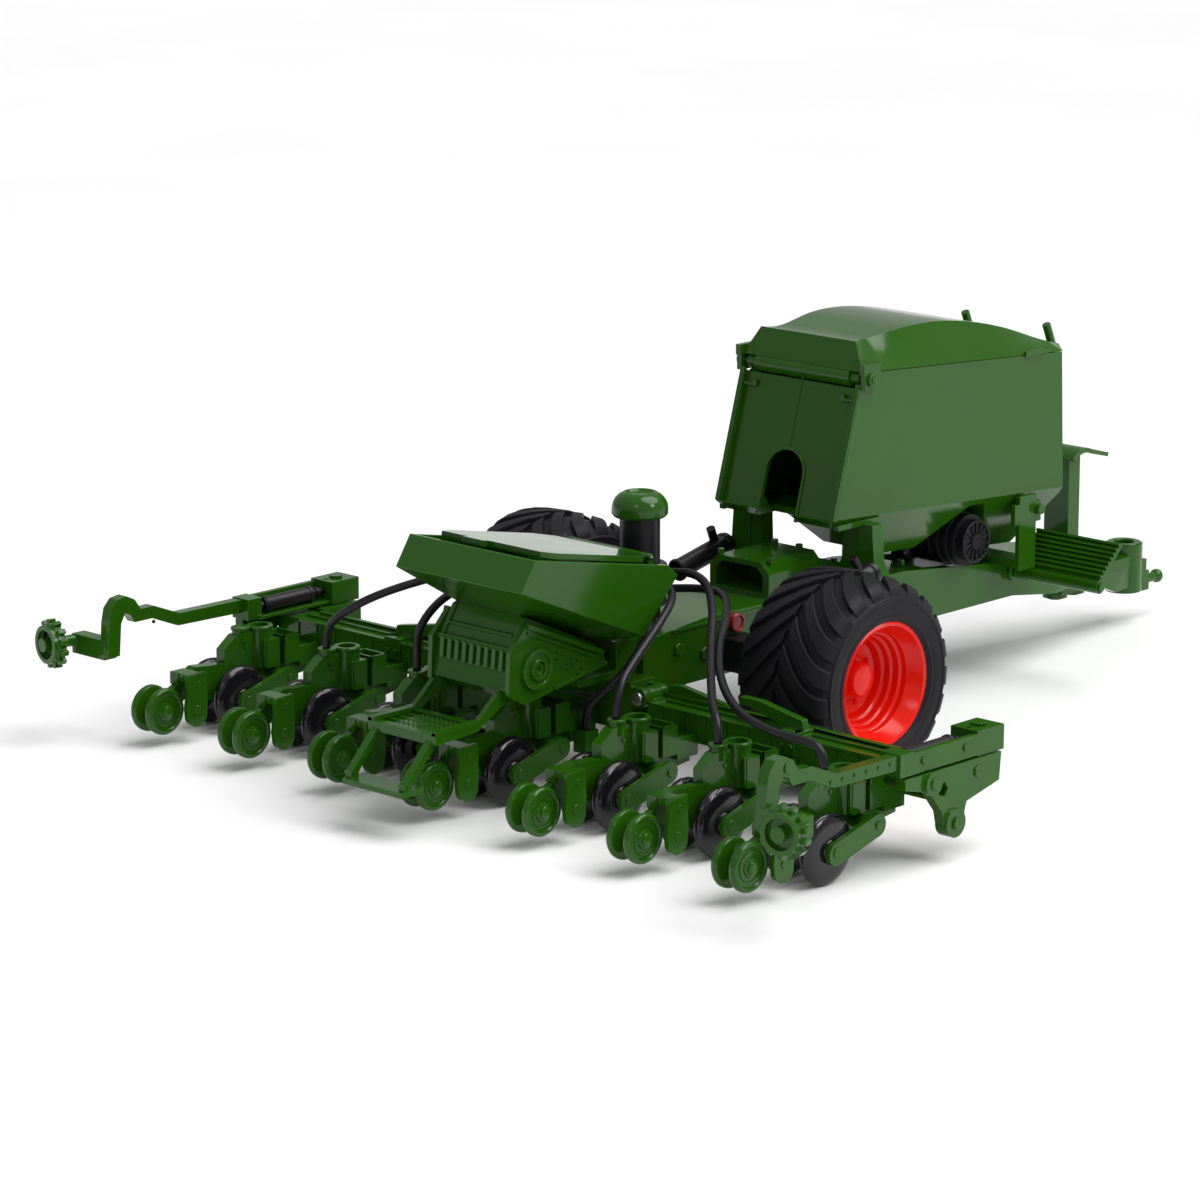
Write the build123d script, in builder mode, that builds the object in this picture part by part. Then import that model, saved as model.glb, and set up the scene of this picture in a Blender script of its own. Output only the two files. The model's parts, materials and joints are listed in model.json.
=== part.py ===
"""A towed precision corn planter for seven rows, built as a large toy at about one sixteenth size.

Millimetres. +Z is up, +Y points forward to the hitch, +X is the machine's right-hand side.
The origin is on the ground, under the centre of the whole machine.
Lengths along Y are given from the axle line of the rear press wheels, which stands at press_y.
"""

import math
import os

from build123d import *

os.makedirs("parts", exist_ok=True)

# ---- driving dimensions -------------------------------------------------------------------
rear_reach = 27.0  # rearmost tread, behind the press wheel axle line
front_reach = 419.6  # coupling knob, ahead of it
press_y = -(front_reach - rear_reach) / 2

row_pitch = 46.9
wing_gap = 2.1  # extra distance between the centre row and the wing rows
centre_setback = 2.6  # the centre row stands this much further back
gauge_radius, gauge_width, gauge_offset = 12.3, 5.8, 8.0
gauge_y, gauge_z = 35.0, 12.3
press_radius, press_width, press_offset = 8.7, 3.3, 3.85
press_axle_y, press_z = 1.6, 12.7
arm_inner, arm_outer = 11.2, 13.2
arm_low, arm_high, arm_end = (35.2, 11.4), (56.0, 17.0), 3.9
socket_y, socket_top, socket_radius = 43.0, 36.5, 3.0
fit = 0.05  # radial clearance of every running fit

bar_rear, bar_front, bar_bottom, bar_top = 78.0, 90.0, 22.0, 32.6
wing_end_x, end_plate = 160.0, 4.0
fold_x, fold_z, fold_pin = 27.0, 33.0, 1.5
lug_radius = 3.5

axle_y, axle_z, axle_radius = 137.0, 38.0, 4.0
tyre_radius, tyre_width, tyre_x, rim_radius = 38.0, 42.0, 71.0, 21.8

beam_half = 18.0
tank_half, lid_half, wall = 29.0, 23.0, 1.6
lid_pivot_y, lid_pivot_z, lid_pin = 197.5, 131.0, 1.2
pivot_x, pivot_y, pivot_z = 157.5, 106.0, 33.6  # marker arm pin
star_x, star_y, star_z, star_radius, star_tilt = 178.8, -18.7, 34.9, 9.2, 10.0

column_y, column_radius, head_radius, cap_z = 107.3, 7.3, 9.5, 90.2
hopper_half, box_half = 30.7, 18.0
hinge_y, hinge_z = 91.5, 80.6  # hopper lid
drum_y, drum_z, drum_radius, drum_shaft = 33.0, 51.0, 5.8, 2.5
hitch_y, hitch_bore, hitch_boss, knob_z = 394.6, 3.7, 7.5, 15.0
step_y, step_z, step_angle = 299.0, 41.7, 43.0
hose_radius = 1.5


# ---- helpers ------------------------------------------------------------------------------
def side(x):
    """Side view at X = x: first coordinate forward from the press wheel axle, second up."""
    return Plane(origin=(x, press_y, 0), x_dir=(0, 1, 0), z_dir=(1, 0, 0))


def rear_view(y):
    """View from behind at distance y: first coordinate to the right, second up."""
    return Plane(origin=(0, press_y + y, 0), x_dir=(1, 0, 0), z_dir=(0, -1, 0))


def top_view(z):
    """Plan at height z: first coordinate to the right, second forward."""
    return Plane(origin=(0, press_y, z), x_dir=(1, 0, 0), z_dir=(0, 0, 1))


def brick(low, high, mode=Mode.ADD):
    """Add or cut a block between two corners."""
    x, y, z = ((a + b) / 2 for a, b in zip(low, high))
    size = [abs(b - a) for a, b in zip(low, high)]
    with Locations((x, press_y + y, z)):
        Box(*size, mode=mode)


def rod(start, end, radius, mode=Mode.ADD):
    """Add or cut a round bar from one centre to another."""
    a, b = (Vector(p[0], press_y + p[1], p[2]) for p in (start, end))
    with BuildSketch(Plane(origin=a, z_dir=b - a)) as disc:
        Circle(radius)
    extrude(disc.sketch, amount=(b - a).length, mode=mode)


def plate(plane, thickness, points, mode=Mode.ADD):
    """Add or cut a flat plate with a straight-sided outline, on a plane and to its normal's side."""
    with BuildSketch(plane) as outline:
        with BuildLine():
            Polyline(*points, close=True)
        make_face()
    extrude(outline.sketch, amount=thickness, mode=mode)


def strap(plane, thickness, start, end, radius):
    """Add a flat bar with round ends, between two centres on a plane."""
    a, b = Vector(*start), Vector(*end)
    across = (b - a).normalized().rotate(Axis.Z, 90) * radius
    with BuildSketch(plane) as outline:
        with BuildLine():
            Polyline(a + across, b + across, b - across, a - across, close=True)
        make_face()
        with Locations(start, end):
            Circle(radius)
    extrude(outline.sketch, amount=thickness)


def keep(piece, name):
    """Label a finished sub-part and write it as a STEP file of the same name."""
    piece.part.label = name
    export_step(piece.part, f"parts/{name}.step")


def row_x(number):
    """X of a row, counted 1 to 7 from the left."""
    step = number - 4
    return step * row_pitch + (wing_gap if step > 0 else -wing_gap if step < 0 else 0)


# ---- row units ----------------------------------------------------------------------------
spine_outline = [
    (10, 25.2), (16, 24.2), (19, 25.8), (33, 24.6), (33, 29.5), (39, 34), (44.1, 34.6),
    (57.4, 33.2), (57.4, 28), (63, 23.5), (78, 23.5), (78, 15), (62, 13), (54, 6.5), (44, 5.4),
    (33.4, 7.5), (28, 11), (22, 18.5), (10, 20.5),
]
tab_outline = [(8.6, 25.6), (16.6, 26), (16.8, 15), (14.8, 7.6), (12, 6.1), (10.2, 7.6), (10, 16)]
strap_low, strap_high, strap_end = (press_axle_y, press_z), (18, 20.2), 3.4
gauge_axle, press_axle = 1.5, 1.2

for number in range(1, 8):
    x = row_x(number)
    back = centre_setback if number == 4 else 0.0
    high_y = arm_high[0] - back
    gauge_line, press_line = (gauge_y - back, gauge_z), (press_axle_y - back, press_z)
    with BuildPart() as row_frame:
        plate(side(x - 2.2), 4.4, [(y - back, z) for y, z in spine_outline])
        brick((x - 7, 50 - back, 20.4), (x + 7, 56.5 - back, 31))
        brick((x - 6, 60 - back, 20), (x + 6, 67.5 - back, 29))
        brick((x - 6, 67.5 - back, 18), (x + 6, 78 - back, 24.5))
        rod((x, socket_y - back, 31), (x, socket_y - back, socket_top), socket_radius)
        rod((x + 1, 52 - back, 20.4), (x + 1, 52 - back, 35.6), 4.6)
        rod((x + 1, 52 - back, 33), (x + 1, 52 - back, 36), 3.4, Mode.SUBTRACT)
        brick((x - 2.2, 10.4 - back, 22.4), (x + 9.6, 16.6 - back, 25.2))
        strap(side(x - 1.5), 3.0, *((y - back, z) for y, z in (strap_low, strap_high)), strap_end)
        rod((x - arm_outer, high_y, arm_high[1]), (x + arm_outer, high_y, arm_high[1]), 2.5)
        plate(side(x + 8.1), 1.5, [(y - back, z) for y, z in tab_outline])
        for hand in (-1, 1):
            arm_x = x + hand * (arm_inner + arm_outer) / 2 - 1
            strap(side(arm_x), 2.0, (arm_low[0] - back, arm_low[1]), (high_y, arm_high[1]), arm_end)
        rod((x - 14, *gauge_line), (x + 14, *gauge_line), gauge_axle + fit, Mode.SUBTRACT)
        rod((x - 3, *press_line), (x + 3, *press_line), press_axle + fit, Mode.SUBTRACT)
        if number == 4:
            brick((6, 66.4, 12), (12, 73, 20))
    keep(row_frame, f"row_{number}_frame")

    with BuildPart() as gauge_wheels:
        for hand in (-1, 1):
            centre = (x + hand * gauge_offset, press_y + gauge_line[0], gauge_z)
            with Locations(Location(centre, (0, 90, 0))):
                Cylinder(gauge_radius, gauge_width)
        tread = gauge_wheels.edges().filter_by(GeomType.CIRCLE)
        fillet(tread, gauge_width * 0.42)
        rod((x - arm_outer - 0.2, *gauge_line), (x + arm_outer + 0.2, *gauge_line), gauge_axle)
    keep(gauge_wheels, f"gauge_wheels_{number}")

    with BuildPart() as press_wheels:
        for hand in (-1, 1):
            inner, outer = (x + hand * (press_offset + s * press_width / 2) for s in (-1, 1))
            rod((inner, *press_line), (outer, *press_line), press_radius)
            dish_plane = Plane(origin=(outer, press_y + press_line[0], press_z), z_dir=(hand, 0, 0))
            with BuildSketch(dish_plane) as dish:
                Circle(7.2)
                Circle(3.4, mode=Mode.SUBTRACT)
            extrude(dish.sketch, amount=-0.8, mode=Mode.SUBTRACT)
            rod((outer, *press_line), (outer + hand * 0.9, *press_line), 2.3)
        rod((x - 5, *press_line), (x + 5, *press_line), press_axle)
    keep(press_wheels, f"press_wheels_{number}")

# ---- wings: toolbar, end, marker arm, star wheel ------------------------------------------
lever_outline = [
    (101, 32.6), (99.5, 37.5), (80, 41), (71, 41), (71, 38.4), (76, 37.6), (88, 34.6), (92, 32.6),
]
gusset_outline = [(32, 32.6), (32, 37), (38, 37.8), (72, 32.6)]
end_outline = [
    (60, 29.5), (60, 33.2), (110.6, 33.2), (109.7, 23.4), (92.4, 19.4), (90.5, 13.3), (81.2, 11),
    (79.5, 18), (72.5, 26.5),
]
goose_outline = [
    (62.5, 36.6), (62.5, 41.6), (27, 42), (14.5, 47), (8, 47), (5.2, 51), (1, 53), (-3.4, 52.4), (-6.4, 49.2),
    (-7.6, 44), (-8.5, 31), (-2.6, 31), (-1.6, 43), (0.4, 46.6), (3, 45.4), (5, 42.4), (13.6, 42.4),
    (26, 37.4),
]

bead_half, shoulder = 18.5, (35.2, 17.5)
# radius, then distance outwards from the tyre's middle
rim_profile = [
    (axle_radius + fit, -6), (7, -6), (7, 0), (16.2, 0), (18.2, -17.6), (rim_radius, -17.6),
    (rim_radius, 18.6), (20.4, 18.6), (19.4, 14.6), (18.2, 14.6), (17.2, 9.6), (15.6, 9.6), (14.2, 2.4),
    (6.6, 2.4), (6.6, 7), (axle_radius + fit, 7),
]

for hand, name in ((-1, "left"), (1, "right")):
    with BuildPart() as wing_beam:
        brick((hand * 31, bar_rear, bar_bottom), (hand * wing_end_x, bar_front, bar_top))
        brick((hand * 34, 86.4, bar_top), (hand * 146, 88.6, 34.2))
        brick((hand * 93, bar_rear - 1.2, 25.6), (hand * 101, bar_rear, bar_top + 1.4))
        brick((hand * 93, bar_rear - 1.2, bar_top), (hand * 101, bar_front, bar_top + 1.4))
        plate(rear_view(85), 3, [(hand * a, b) for a, b in lever_outline])
        plate(rear_view(bar_front), 2.4, [(hand * a, b) for a, b in gusset_outline])
        rod((hand * fold_x, 81.2, fold_z), (hand * fold_x, 86.8, fold_z), lug_radius)
        brick((hand * fold_x, 81.2, 29.6), (hand * 31.5, 86.8, bar_top))
        rod((hand * fold_x, 80, fold_z), (hand * fold_x, 88, fold_z), fold_pin + fit, Mode.SUBTRACT)
    keep(wing_beam, f"wing_beam_{name}")

    plate_x = wing_end_x if hand > 0 else -wing_end_x - end_plate
    with BuildPart() as wing_end:
        plate(side(plate_x), end_plate, end_outline)
        rod((hand * wing_end_x, 85.6, 13.3), (hand * (wing_end_x + 5.2), 85.6, 13.3), 5)
        rod((hand * (wing_end_x + 4), 73.7, 29.4), (hand * (wing_end_x + 5.4), 73.7, 29.4), 4.2)
        brick((hand * 149, 92, 20.5), (hand * wing_end_x, 111, 33.2))
        with BuildSketch(side(plate_x)) as spanner_hole:
            with Locations((79.8, 26)):
                RegularPolygon(2.6, 5)
        extrude(spanner_hole.sketch, amount=end_plate, mode=Mode.SUBTRACT)
        rod((hand * pivot_x, pivot_y, 30), (hand * pivot_x, pivot_y, 42.6), 2.0)
        rod((hand * pivot_x, pivot_y, 42.6), (hand * pivot_x, pivot_y, 43.2), 2.6)
    keep(wing_end, f"wing_end_{name}")

    with BuildPart() as marker_arm:
        brick((hand * 151.6, 98.5, pivot_z), (hand * 163.4, 112.6, 42.3))
        brick((hand * 152.6, 63, 34), (hand * 163.4, 98.5, 35.2))
        brick((hand * 161.4, 63, 34), (hand * 163.4, 98.5, 41.4))
        brick((hand * 154.6, 58, 34), (hand * 163.4, 65, 42))
        goose_x = 158 if hand > 0 else -162.4
        plate(side(goose_x), 4.4, goose_outline)
        brick((hand * 160, -8.5, 30), (hand * 178, -2.6, 37.4))
        rod((hand * 176.6, -6, star_z), (hand * 178.1, -14.8, star_z), 2.2)
        rod((hand * 176.6, -6, star_z), (hand * 179.2, -21.2, star_z), 1.3)
        rod((hand * pivot_x, pivot_y, 33), (hand * pivot_x, pivot_y, 43), 2.0 + fit, Mode.SUBTRACT)
        rod((hand * pivot_x, 100.8, 33), (hand * pivot_x, 100.8, 43), 1.0, Mode.SUBTRACT)
    keep(marker_arm, f"marker_arm_{name}")

    with BuildPart() as marker_cylinder:
        rod((hand * 156.8, 67, 38.3), (hand * 156.8, 92, 38.3), 2.9)
        rod((hand * 156.8, 65, 38.3), (hand * 156.8, 98.5, 38.3), 1.5)
    keep(marker_cylinder, f"marker_cylinder_{name}")

    star_plane = Plane(
        origin=(hand * star_x, press_y + star_y, star_z),
        z_dir=Vector(0, -1, 0).rotate(Axis.Z, hand * star_tilt),
    )
    with BuildPart() as star_wheel:
        with BuildSketch(star_plane) as star:
            Circle(7.4)
            with PolarLocations(7.6, 13):
                Rectangle(3.2, 1.9)
        extrude(star.sketch, amount=-3.2)
        with BuildSketch(star_plane) as ring:
            Circle(7.2)
            Circle(5.4, mode=Mode.SUBTRACT)
        extrude(ring.sketch, amount=2.0)
        with BuildSketch(star_plane) as hub:
            Circle(2.6)
        extrude(hub.sketch, amount=3.2)
        with BuildSketch(star_plane) as bore:
            Circle(1.3 + fit)
        extrude(bore.sketch, amount=2.9, mode=Mode.SUBTRACT)
        extrude(bore.sketch, amount=-4, mode=Mode.SUBTRACT)
    keep(star_wheel, f"star_wheel_{name}")

    wheel_centre = (hand * tyre_x, press_y + axle_y, axle_z)
    wheel_axis = Axis(wheel_centre, (1, 0, 0))
    with BuildPart() as tyre:
        with BuildSketch(Plane(origin=wheel_centre, x_dir=(0, 0, 1), z_dir=(0, 1, 0))):
            with BuildLine():
                Line((rim_radius, -bead_half), (rim_radius, bead_half))
                ThreePointArc((rim_radius, bead_half), (29, tyre_width / 2), shoulder)
                ThreePointArc(shoulder, (tyre_radius, 0), (shoulder[0], -shoulder[1]))
                ThreePointArc((shoulder[0], -shoulder[1]), (29, -tyre_width / 2), (rim_radius, -bead_half))
            make_face()
        revolve(axis=wheel_axis)
    keep(tyre, f"tyre_{name}")

    with BuildPart() as rim:
        with BuildSketch(Plane(origin=wheel_centre, x_dir=(0, 0, 1), z_dir=(0, hand, 0))):
            with BuildLine():
                Polyline(*rim_profile, close=True)
            make_face()
        revolve(axis=wheel_axis)
    keep(rim, f"rim_{name}")

# ---- chassis ------------------------------------------------------------------------------
beam_outline = [
    (90, 22), (90, 50), (122, 53), (234, 51), (314, 42), (374, 36.4), (374, 25.6), (330, 25.6), (300, 30),
    (112, 30), (100, 22),
]
with BuildPart() as drawbar_beam:
    plate(side(-beam_half), 2 * beam_half, beam_outline)
    for hand in (-1, 1):
        taper = [(hand * 18.1, 322), (hand * 8, 375), (hand * 18.1, 375)]
        plate(top_view(20), 40, taper, Mode.SUBTRACT)
    rod((-20, axle_y, axle_z), (20, axle_y, axle_z), axle_radius, Mode.SUBTRACT)
    brick((-14, 250, 44.5), (14, 283, 52), Mode.SUBTRACT)
    rod((18, step_y, step_z - 1.2), (20.5, step_y, step_z - 1.2), 4.2)
    rod((18, step_y, step_z - 1.2), (62, step_y, step_z - 1.2), 1.6)
keep(drawbar_beam, "drawbar_beam")

with BuildPart() as toolbar_centre:
    brick((-23, 78, 20), (23, 90, 38))
    brick((-6, 75.4, 16), (6, 78, 30))
    for hand in (-1, 1):
        for start, end in ((78, 81), (87, 90)):
            rod((hand * fold_x, start, fold_z), (hand * fold_x, end, fold_z), lug_radius)
            brick((hand * 22, start, fold_z - lug_radius), (hand * fold_x, end, fold_z + lug_radius))
            rod((hand * fold_x, start, fold_z), (hand * fold_x, end, fold_z), fold_pin, Mode.SUBTRACT)
        brick((hand * 12, 79, 38), (hand * 15, 90, 51))
    brick((-15, 60, 38), (15, 90, 41))
keep(toolbar_centre, "toolbar_centre")

axle_end, lift_x = tyre_x + 6.5, 36.0
with BuildPart() as wheel_axle:
    rod((-axle_end, axle_y, axle_z), (axle_end, axle_y, axle_z), axle_radius)
    for hand in (-1, 1):
        rod((hand * 46, axle_y, axle_z), (hand * 49, axle_y, axle_z), 8)
        brick((hand * beam_half, axle_y - 6, axle_z - 6), (hand * 46, axle_y + 6, axle_z + 6))
        rod((hand * (axle_end + 0.8), axle_y, axle_z), (hand * (axle_end + 2.3), axle_y, axle_z), 5.4)
        rod((hand * (axle_end - 0.5), axle_y, axle_z), (hand * (axle_end + 1.5), axle_y, axle_z), 2)
        # lift cylinder, standing on a lug of the axle arm
        rod((hand * lift_x, 141, 42), (hand * lift_x, 151, 51.2), 2.2)
        rod((hand * lift_x, 150, 50.5), (hand * lift_x, 195.2, 60.4), 1.6)
        rod((hand * lift_x, 166, 54), (hand * lift_x, 194.6, 60.3), 3.9)
        rod((hand * lift_x, 188, 60), (hand * (lift_x - 1), 184, 67.5), 1.7)
keep(wheel_axle, "wheel_axle")

beam_slope = (53 - 51) / (234 - 122)
deck_rest = 53 - beam_slope * (190 - 122)
under_rear, under_front = 53 - beam_slope * (150 - 122), 53 - beam_slope * (195 - 122)
leg_outline = [(17, 57.4), (38, 57.4), (35, 63), (34, 77), (20, 77), (19.5, 63)]
outlet_outline = [(-10.5, 65.4), (10.5, 65.4), (14.5, 61.4), (14.5, 50), (-14.5, 50), (-14.5, 61.4)]
outlet_opening = [(-8.5, 63.4), (8.5, 63.4), (11.5, 60.4), (11.5, 54), (-11.5, 54), (-11.5, 60.4)]
with BuildPart() as tank_stand:
    brick((-30, 190, deck_rest), (30, 208, 57.4))
    for hand in (-1, 1):
        plate(rear_view(202), 6, [(hand * a, b) for a, b in leg_outline])
        brick((hand * 24, 202, 57), (hand * 28, 207, 66))
    # outlet box behind the deck, lying on the beam
    plate(rear_view(190.5), 29.5, outlet_outline)
    plate(rear_view(177), 18, outlet_opening, Mode.SUBTRACT)
    plate(side(-20), 40, [(150, under_rear), (195, under_front), (195, 45), (150, 45)], Mode.SUBTRACT)
keep(tank_stand, "tank_stand")

cradle_rest = 51 - (51 - 42) / 80 * (287 - 234)
with BuildPart() as tank_cradle:
    brick((-31, 287, cradle_rest), (31, 297, 48))
    for hand in (-1, 1):
        brick((hand * 29, 287, 44), (hand * 31, 297, 73))
        brick((hand * 29, 284, 62), (hand * 31, 300, 70))
        rod((hand * 31, 297.5, 67), (hand * 33.5, 297.5, 67), 2)
keep(tank_cradle, "tank_cradle")

# ---- tank ---------------------------------------------------------------------------------
lid_line = [(195, 133.5), (313.5, 125.6)]
tank_outline = [
    (182.5, 77), (207, 77), (225, 59), (244, 58), (261, 73), (270, 73), (289, 50.5), (307, 49), (316, 69.7),
    (313.5, 125.6), (195, 133.5), (179.5, 80),
]
hold_outline = [
    (188, 79.5), (208.5, 79.5), (226, 61), (243.5, 60.2), (260, 75.2), (271, 75.2), (290, 52.5), (306, 51.2),
    (314.2, 70), (311.8, 130), (199.6, 136), (184.6, 84),
]
# the sides fold inwards below this line, which drops a little towards the front
fold = Plane(origin=(0, press_y + 175, 81), x_dir=(1, 0, 0), z_dir=Vector(0, -145, 9))


def flank(hand, half, lift):
    """Outline of what is cut away beside the funnels, on the fold plane."""
    return [
        (hand * half, lift), (hand * (half - 19), lift - 24.5), (hand * (half - 19), -40), (hand * 40, -40),
        (hand * 40, lift),
    ]


with BuildPart() as hold:
    plate(side(-tank_half + wall), 2 * (tank_half - wall), hold_outline)
    for hand in (-1, 1):
        plate(fold, -150, flank(hand, tank_half - wall, 1.6), Mode.SUBTRACT)

with BuildPart() as tank_body:
    plate(side(-tank_half), 2 * tank_half, tank_outline)
    for hand in (-1, 1):
        plate(fold, -150, flank(hand, tank_half, 0), Mode.SUBTRACT)
    add(hold.part, mode=Mode.SUBTRACT)
    recess = [(176, 80), (182, 80), (196.4, 131), (176, 131)]
    plate(side(-27), 54, recess, Mode.SUBTRACT)
    with BuildSketch(rear_view(178)) as hatch:
        with Locations((0, 85)):
            Rectangle(18, 17)
        with Locations((0, 93.5)):
            Circle(9)
    extrude(hatch.sketch, amount=-13, mode=Mode.SUBTRACT)
    rod((-30, lid_pivot_y, lid_pivot_z), (30, lid_pivot_y, lid_pivot_z), 4.2, Mode.SUBTRACT)
    for hand in (-1, 1):
        rod((hand * 23.5, lid_pivot_y, lid_pivot_z), (hand * 27.2, lid_pivot_y, lid_pivot_z), 2.5)
        brick((hand * 23.5, lid_pivot_y, 121), (hand * 27.2, lid_pivot_y + 5, 130))
        brick((hand * 27, lid_pivot_y, 121), (hand * 28, lid_pivot_y + 5, 125.5))
        rod(*((hand * x, lid_pivot_y, lid_pivot_z) for x in (23, 28)), lid_pin, Mode.SUBTRACT)
        rod((hand * 20, 312.5, 121), (hand * 20, 319.5, 125.5), 1.1)
        rod((hand * 20, 319, 125.5), (hand * 20, 315, 134.6), 1.1)
keep(tank_body, "tank_body")


def lid_section(plane, half_low, half_top, low, high):
    """A cross-section of the lid: wide at its rim, narrower at the crease above it."""
    with BuildSketch(plane) as section:
        with BuildLine():
            Polyline((-half_low, low), (half_low, low), (half_top, high), (-half_top, high), close=True)
        make_face()
    return section.sketch


lid_lean = Plane(origin=(0, press_y + 195, 133.8), x_dir=(1, 0, 0), z_dir=Vector(0, -10.4, 3.2))
crown = [(228, 146.0), (250, 145.2), (270, 141.8), (290, 136.4), (304, 131.6)]


def rim_height(y):
    """Height of the lid's rim line."""
    return 133.8 - 0.067 * (y - 195)


def lid_sections(inset, first):
    """The lid's domed form, or its hollow when inset by the wall, from a first section forward."""
    half = lid_half + 6.2 - inset
    sections = [first]
    for y, z in crown:
        low = rim_height(y) - inset * 2
        sections.append(lid_section(rear_view(y), half, lid_half - inset, low, z - inset))
    last = 313.6 - inset
    low = rim_height(last) - inset * 2
    sections.append(lid_section(rear_view(last), half, lid_half + 4 - inset, low, 128.6 - inset))
    return sections


with BuildPart() as tank_lid:
    loft(lid_sections(0, lid_section(lid_lean, lid_half + 6.2, lid_half, 0, 10.9)))
    loft(lid_sections(1.4, lid_section(rear_view(200.6), lid_half + 4.8, lid_half - 1.4, 130, 141)),
         mode=Mode.SUBTRACT)
    for hand in (-1, 1):
        brick((hand * 29.1, 193.5, 133), (hand * 31.4, 203, 137))
        brick((hand * 29.2, 194.2, 127.4), (hand * 31.4, 202, 134))
        rod(*((hand * x, lid_pivot_y, lid_pivot_z) for x in (29, 32)), lid_pin + fit, Mode.SUBTRACT)
        brick((hand * 29.1, 290, 126.8), (hand * 30.2, 303.6, 128.8))
keep(tank_lid, "tank_lid")

with BuildPart() as seed_fan:
    rod((-8, 266.5, 58.4), (23, 266.5, 58.4), 10)
    rod((23, 266.5, 58.4), (26, 266.5, 58.4), 8)
    rod((26, 266.5, 58.4), (27, 266.5, 58.4), 3)
    rod((0, 264, 57), (0, 253, 50.5), 4)
keep(seed_fan, "seed_fan")

# ---- drawbar fittings ---------------------------------------------------------------------
with BuildPart() as ladder_post:
    foot = 42 - 5.6 / 60 * (349.5 - 314)
    brick((-6, 349.5, foot), (6, 351.1, 75))
    for hand in (-1, 1):
        brick((hand * 4.6, 349.5, foot), (hand * 6, 356.5, 75))
    with BuildSketch(side(-9)) as top_plate:
        with BuildLine():
            ThreePointArc((348, 75.2), (353, 78.3), (360, 77.6))
            Line((360, 77.6), (371, 74.6))
            Line((371, 74.6), (370.6, 73))
            Line((370.6, 73), (359.6, 75.8))
            ThreePointArc((359.6, 75.8), (353.4, 76.4), (349.4, 74))
            Line((349.4, 74), (348, 75.2))
        make_face()
    extrude(top_plate.sketch, amount=18)
keep(ladder_post, "ladder_post")

head_outline = [(-8, 366), (8, 366), (8, 376), (6, 388), (6, 402), (-6, 402), (-6, 388), (-8, 376)]
with BuildPart() as hitch_head:
    brick((-8, 344, 20.6), (8, 374, 25.6))
    with BuildSketch(top_view(15.4)) as head_plan:
        with BuildLine():
            Polyline(*head_outline, close=True)
        make_face()
    extrude(head_plan.sketch, amount=10.2)
    plate(side(-10), 20, [(360, 14), (384, 14), (366.5, 21), (360, 21)], Mode.SUBTRACT)
    brick((-8, 374.1, 25), (8, 388, 29))
    rod((0, hitch_y, 13), (0, hitch_y, 32.6), hitch_boss)
    rod((0, hitch_y, 12), (0, hitch_y, 34), hitch_bore, Mode.SUBTRACT)
    brick((-3, 401, 11.4), (3, 408, 19.4))
    rod((0, 407, knob_z), (0, 417, knob_z), 1.9)
    with Locations((0, press_y + front_reach - 2.8, knob_z)):
        Sphere(2.8)
    for y in (350, 361):
        rod((0, y, 18), (0, y, 20.6), 5)
keep(hitch_head, "hitch_head")

step_normal = Vector(0, -1, 0).rotate(Axis.X, -90 + step_angle)
step_plane = Plane(origin=(21, press_y + step_y, step_z), x_dir=(1, 0, 0), z_dir=step_normal)
with BuildPart() as side_step:
    with BuildSketch(step_plane) as step_plate:
        with Locations((20, 9.6)):
            Rectangle(40, 18)
    extrude(step_plate.sketch, amount=1.4)
    with BuildSketch(step_plane.offset(1.4)) as ribs:
        for rib in range(8):
            with Locations((20, 2.4 + rib * 2.15)):
                Rectangle(40, 1.0)
    extrude(ribs.sketch, amount=1.0)
    rod((21, step_y, step_z - 1.2), (61, step_y, step_z - 1.2), 2.6)
    rod((20, step_y, step_z - 1.2), (63, step_y, step_z - 1.2), 1.6 + fit, Mode.SUBTRACT)
keep(side_step, "side_step")

# ---- seed hopper and meter ----------------------------------------------------------------
seat_slope = (69.3 - 55) / (62 - 30.3)


def seat(y):
    """Height of the slanting seat between the hopper and the meter box."""
    return 69.3 - seat_slope * (y - 30.3)


hopper_outline = [(15.1, 82.3), (22.1, 92.9), (89, 80), (94, 75.5), (75, 55), (62, 55), (30.3, 69.3)]
hollow_outline = [
    (17.5, 82.3), (23.6, 91.5), (23.6, 96), (87.6, 84), (92, 75.4), (74.2, 57), (62.6, 57), (31.2, 71.3),
]


def hopper_form(half, outline, inset):
    """The faceted hopper, or its hollow when inset."""
    plate(side(-half), 2 * half, outline)
    for hand in (-1, 1):
        a = Vector(hand * half, press_y + 15.1, 82.3 + inset)
        b = Vector(hand * (13.8 - inset * 0.4), press_y + 30.3, 69.3 + inset)
        c = Vector(hand * (22 - inset), press_y + 72, 55 + inset)
        inwards = (b - a).cross(c - a).normalized()
        if inwards.dot(Vector(0, press_y + 60, 80) - a) < 0:
            inwards = inwards * -1
        split(bisect_by=Plane(origin=a, z_dir=inwards), keep=Keep.TOP)


with BuildPart() as seed_space:
    hopper_form(hopper_half - 1.6, hollow_outline, 1.8)

with BuildPart() as hopper_body:
    hopper_form(hopper_half, hopper_outline, 0)
    mouth = Plane(origin=(0, press_y + 22.1, 92.9), x_dir=(1, 0, 0), z_dir=Vector(0, 12.9, 66.9))
    add(seed_space.part, mode=Mode.SUBTRACT)
    for hand in (-1, 1):
        rod((hand * 17, hinge_y, hinge_z), (hand * 20, hinge_y, hinge_z), 1.4)
        brick((hand * 17, hinge_y - 1.4, 75.4), (hand * 20, hinge_y + 1.4, hinge_z))
        rod((hand * 16, hinge_y, hinge_z), (hand * 21, hinge_y, hinge_z), 0.7, Mode.SUBTRACT)
keep(hopper_body, "hopper_body")

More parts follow.
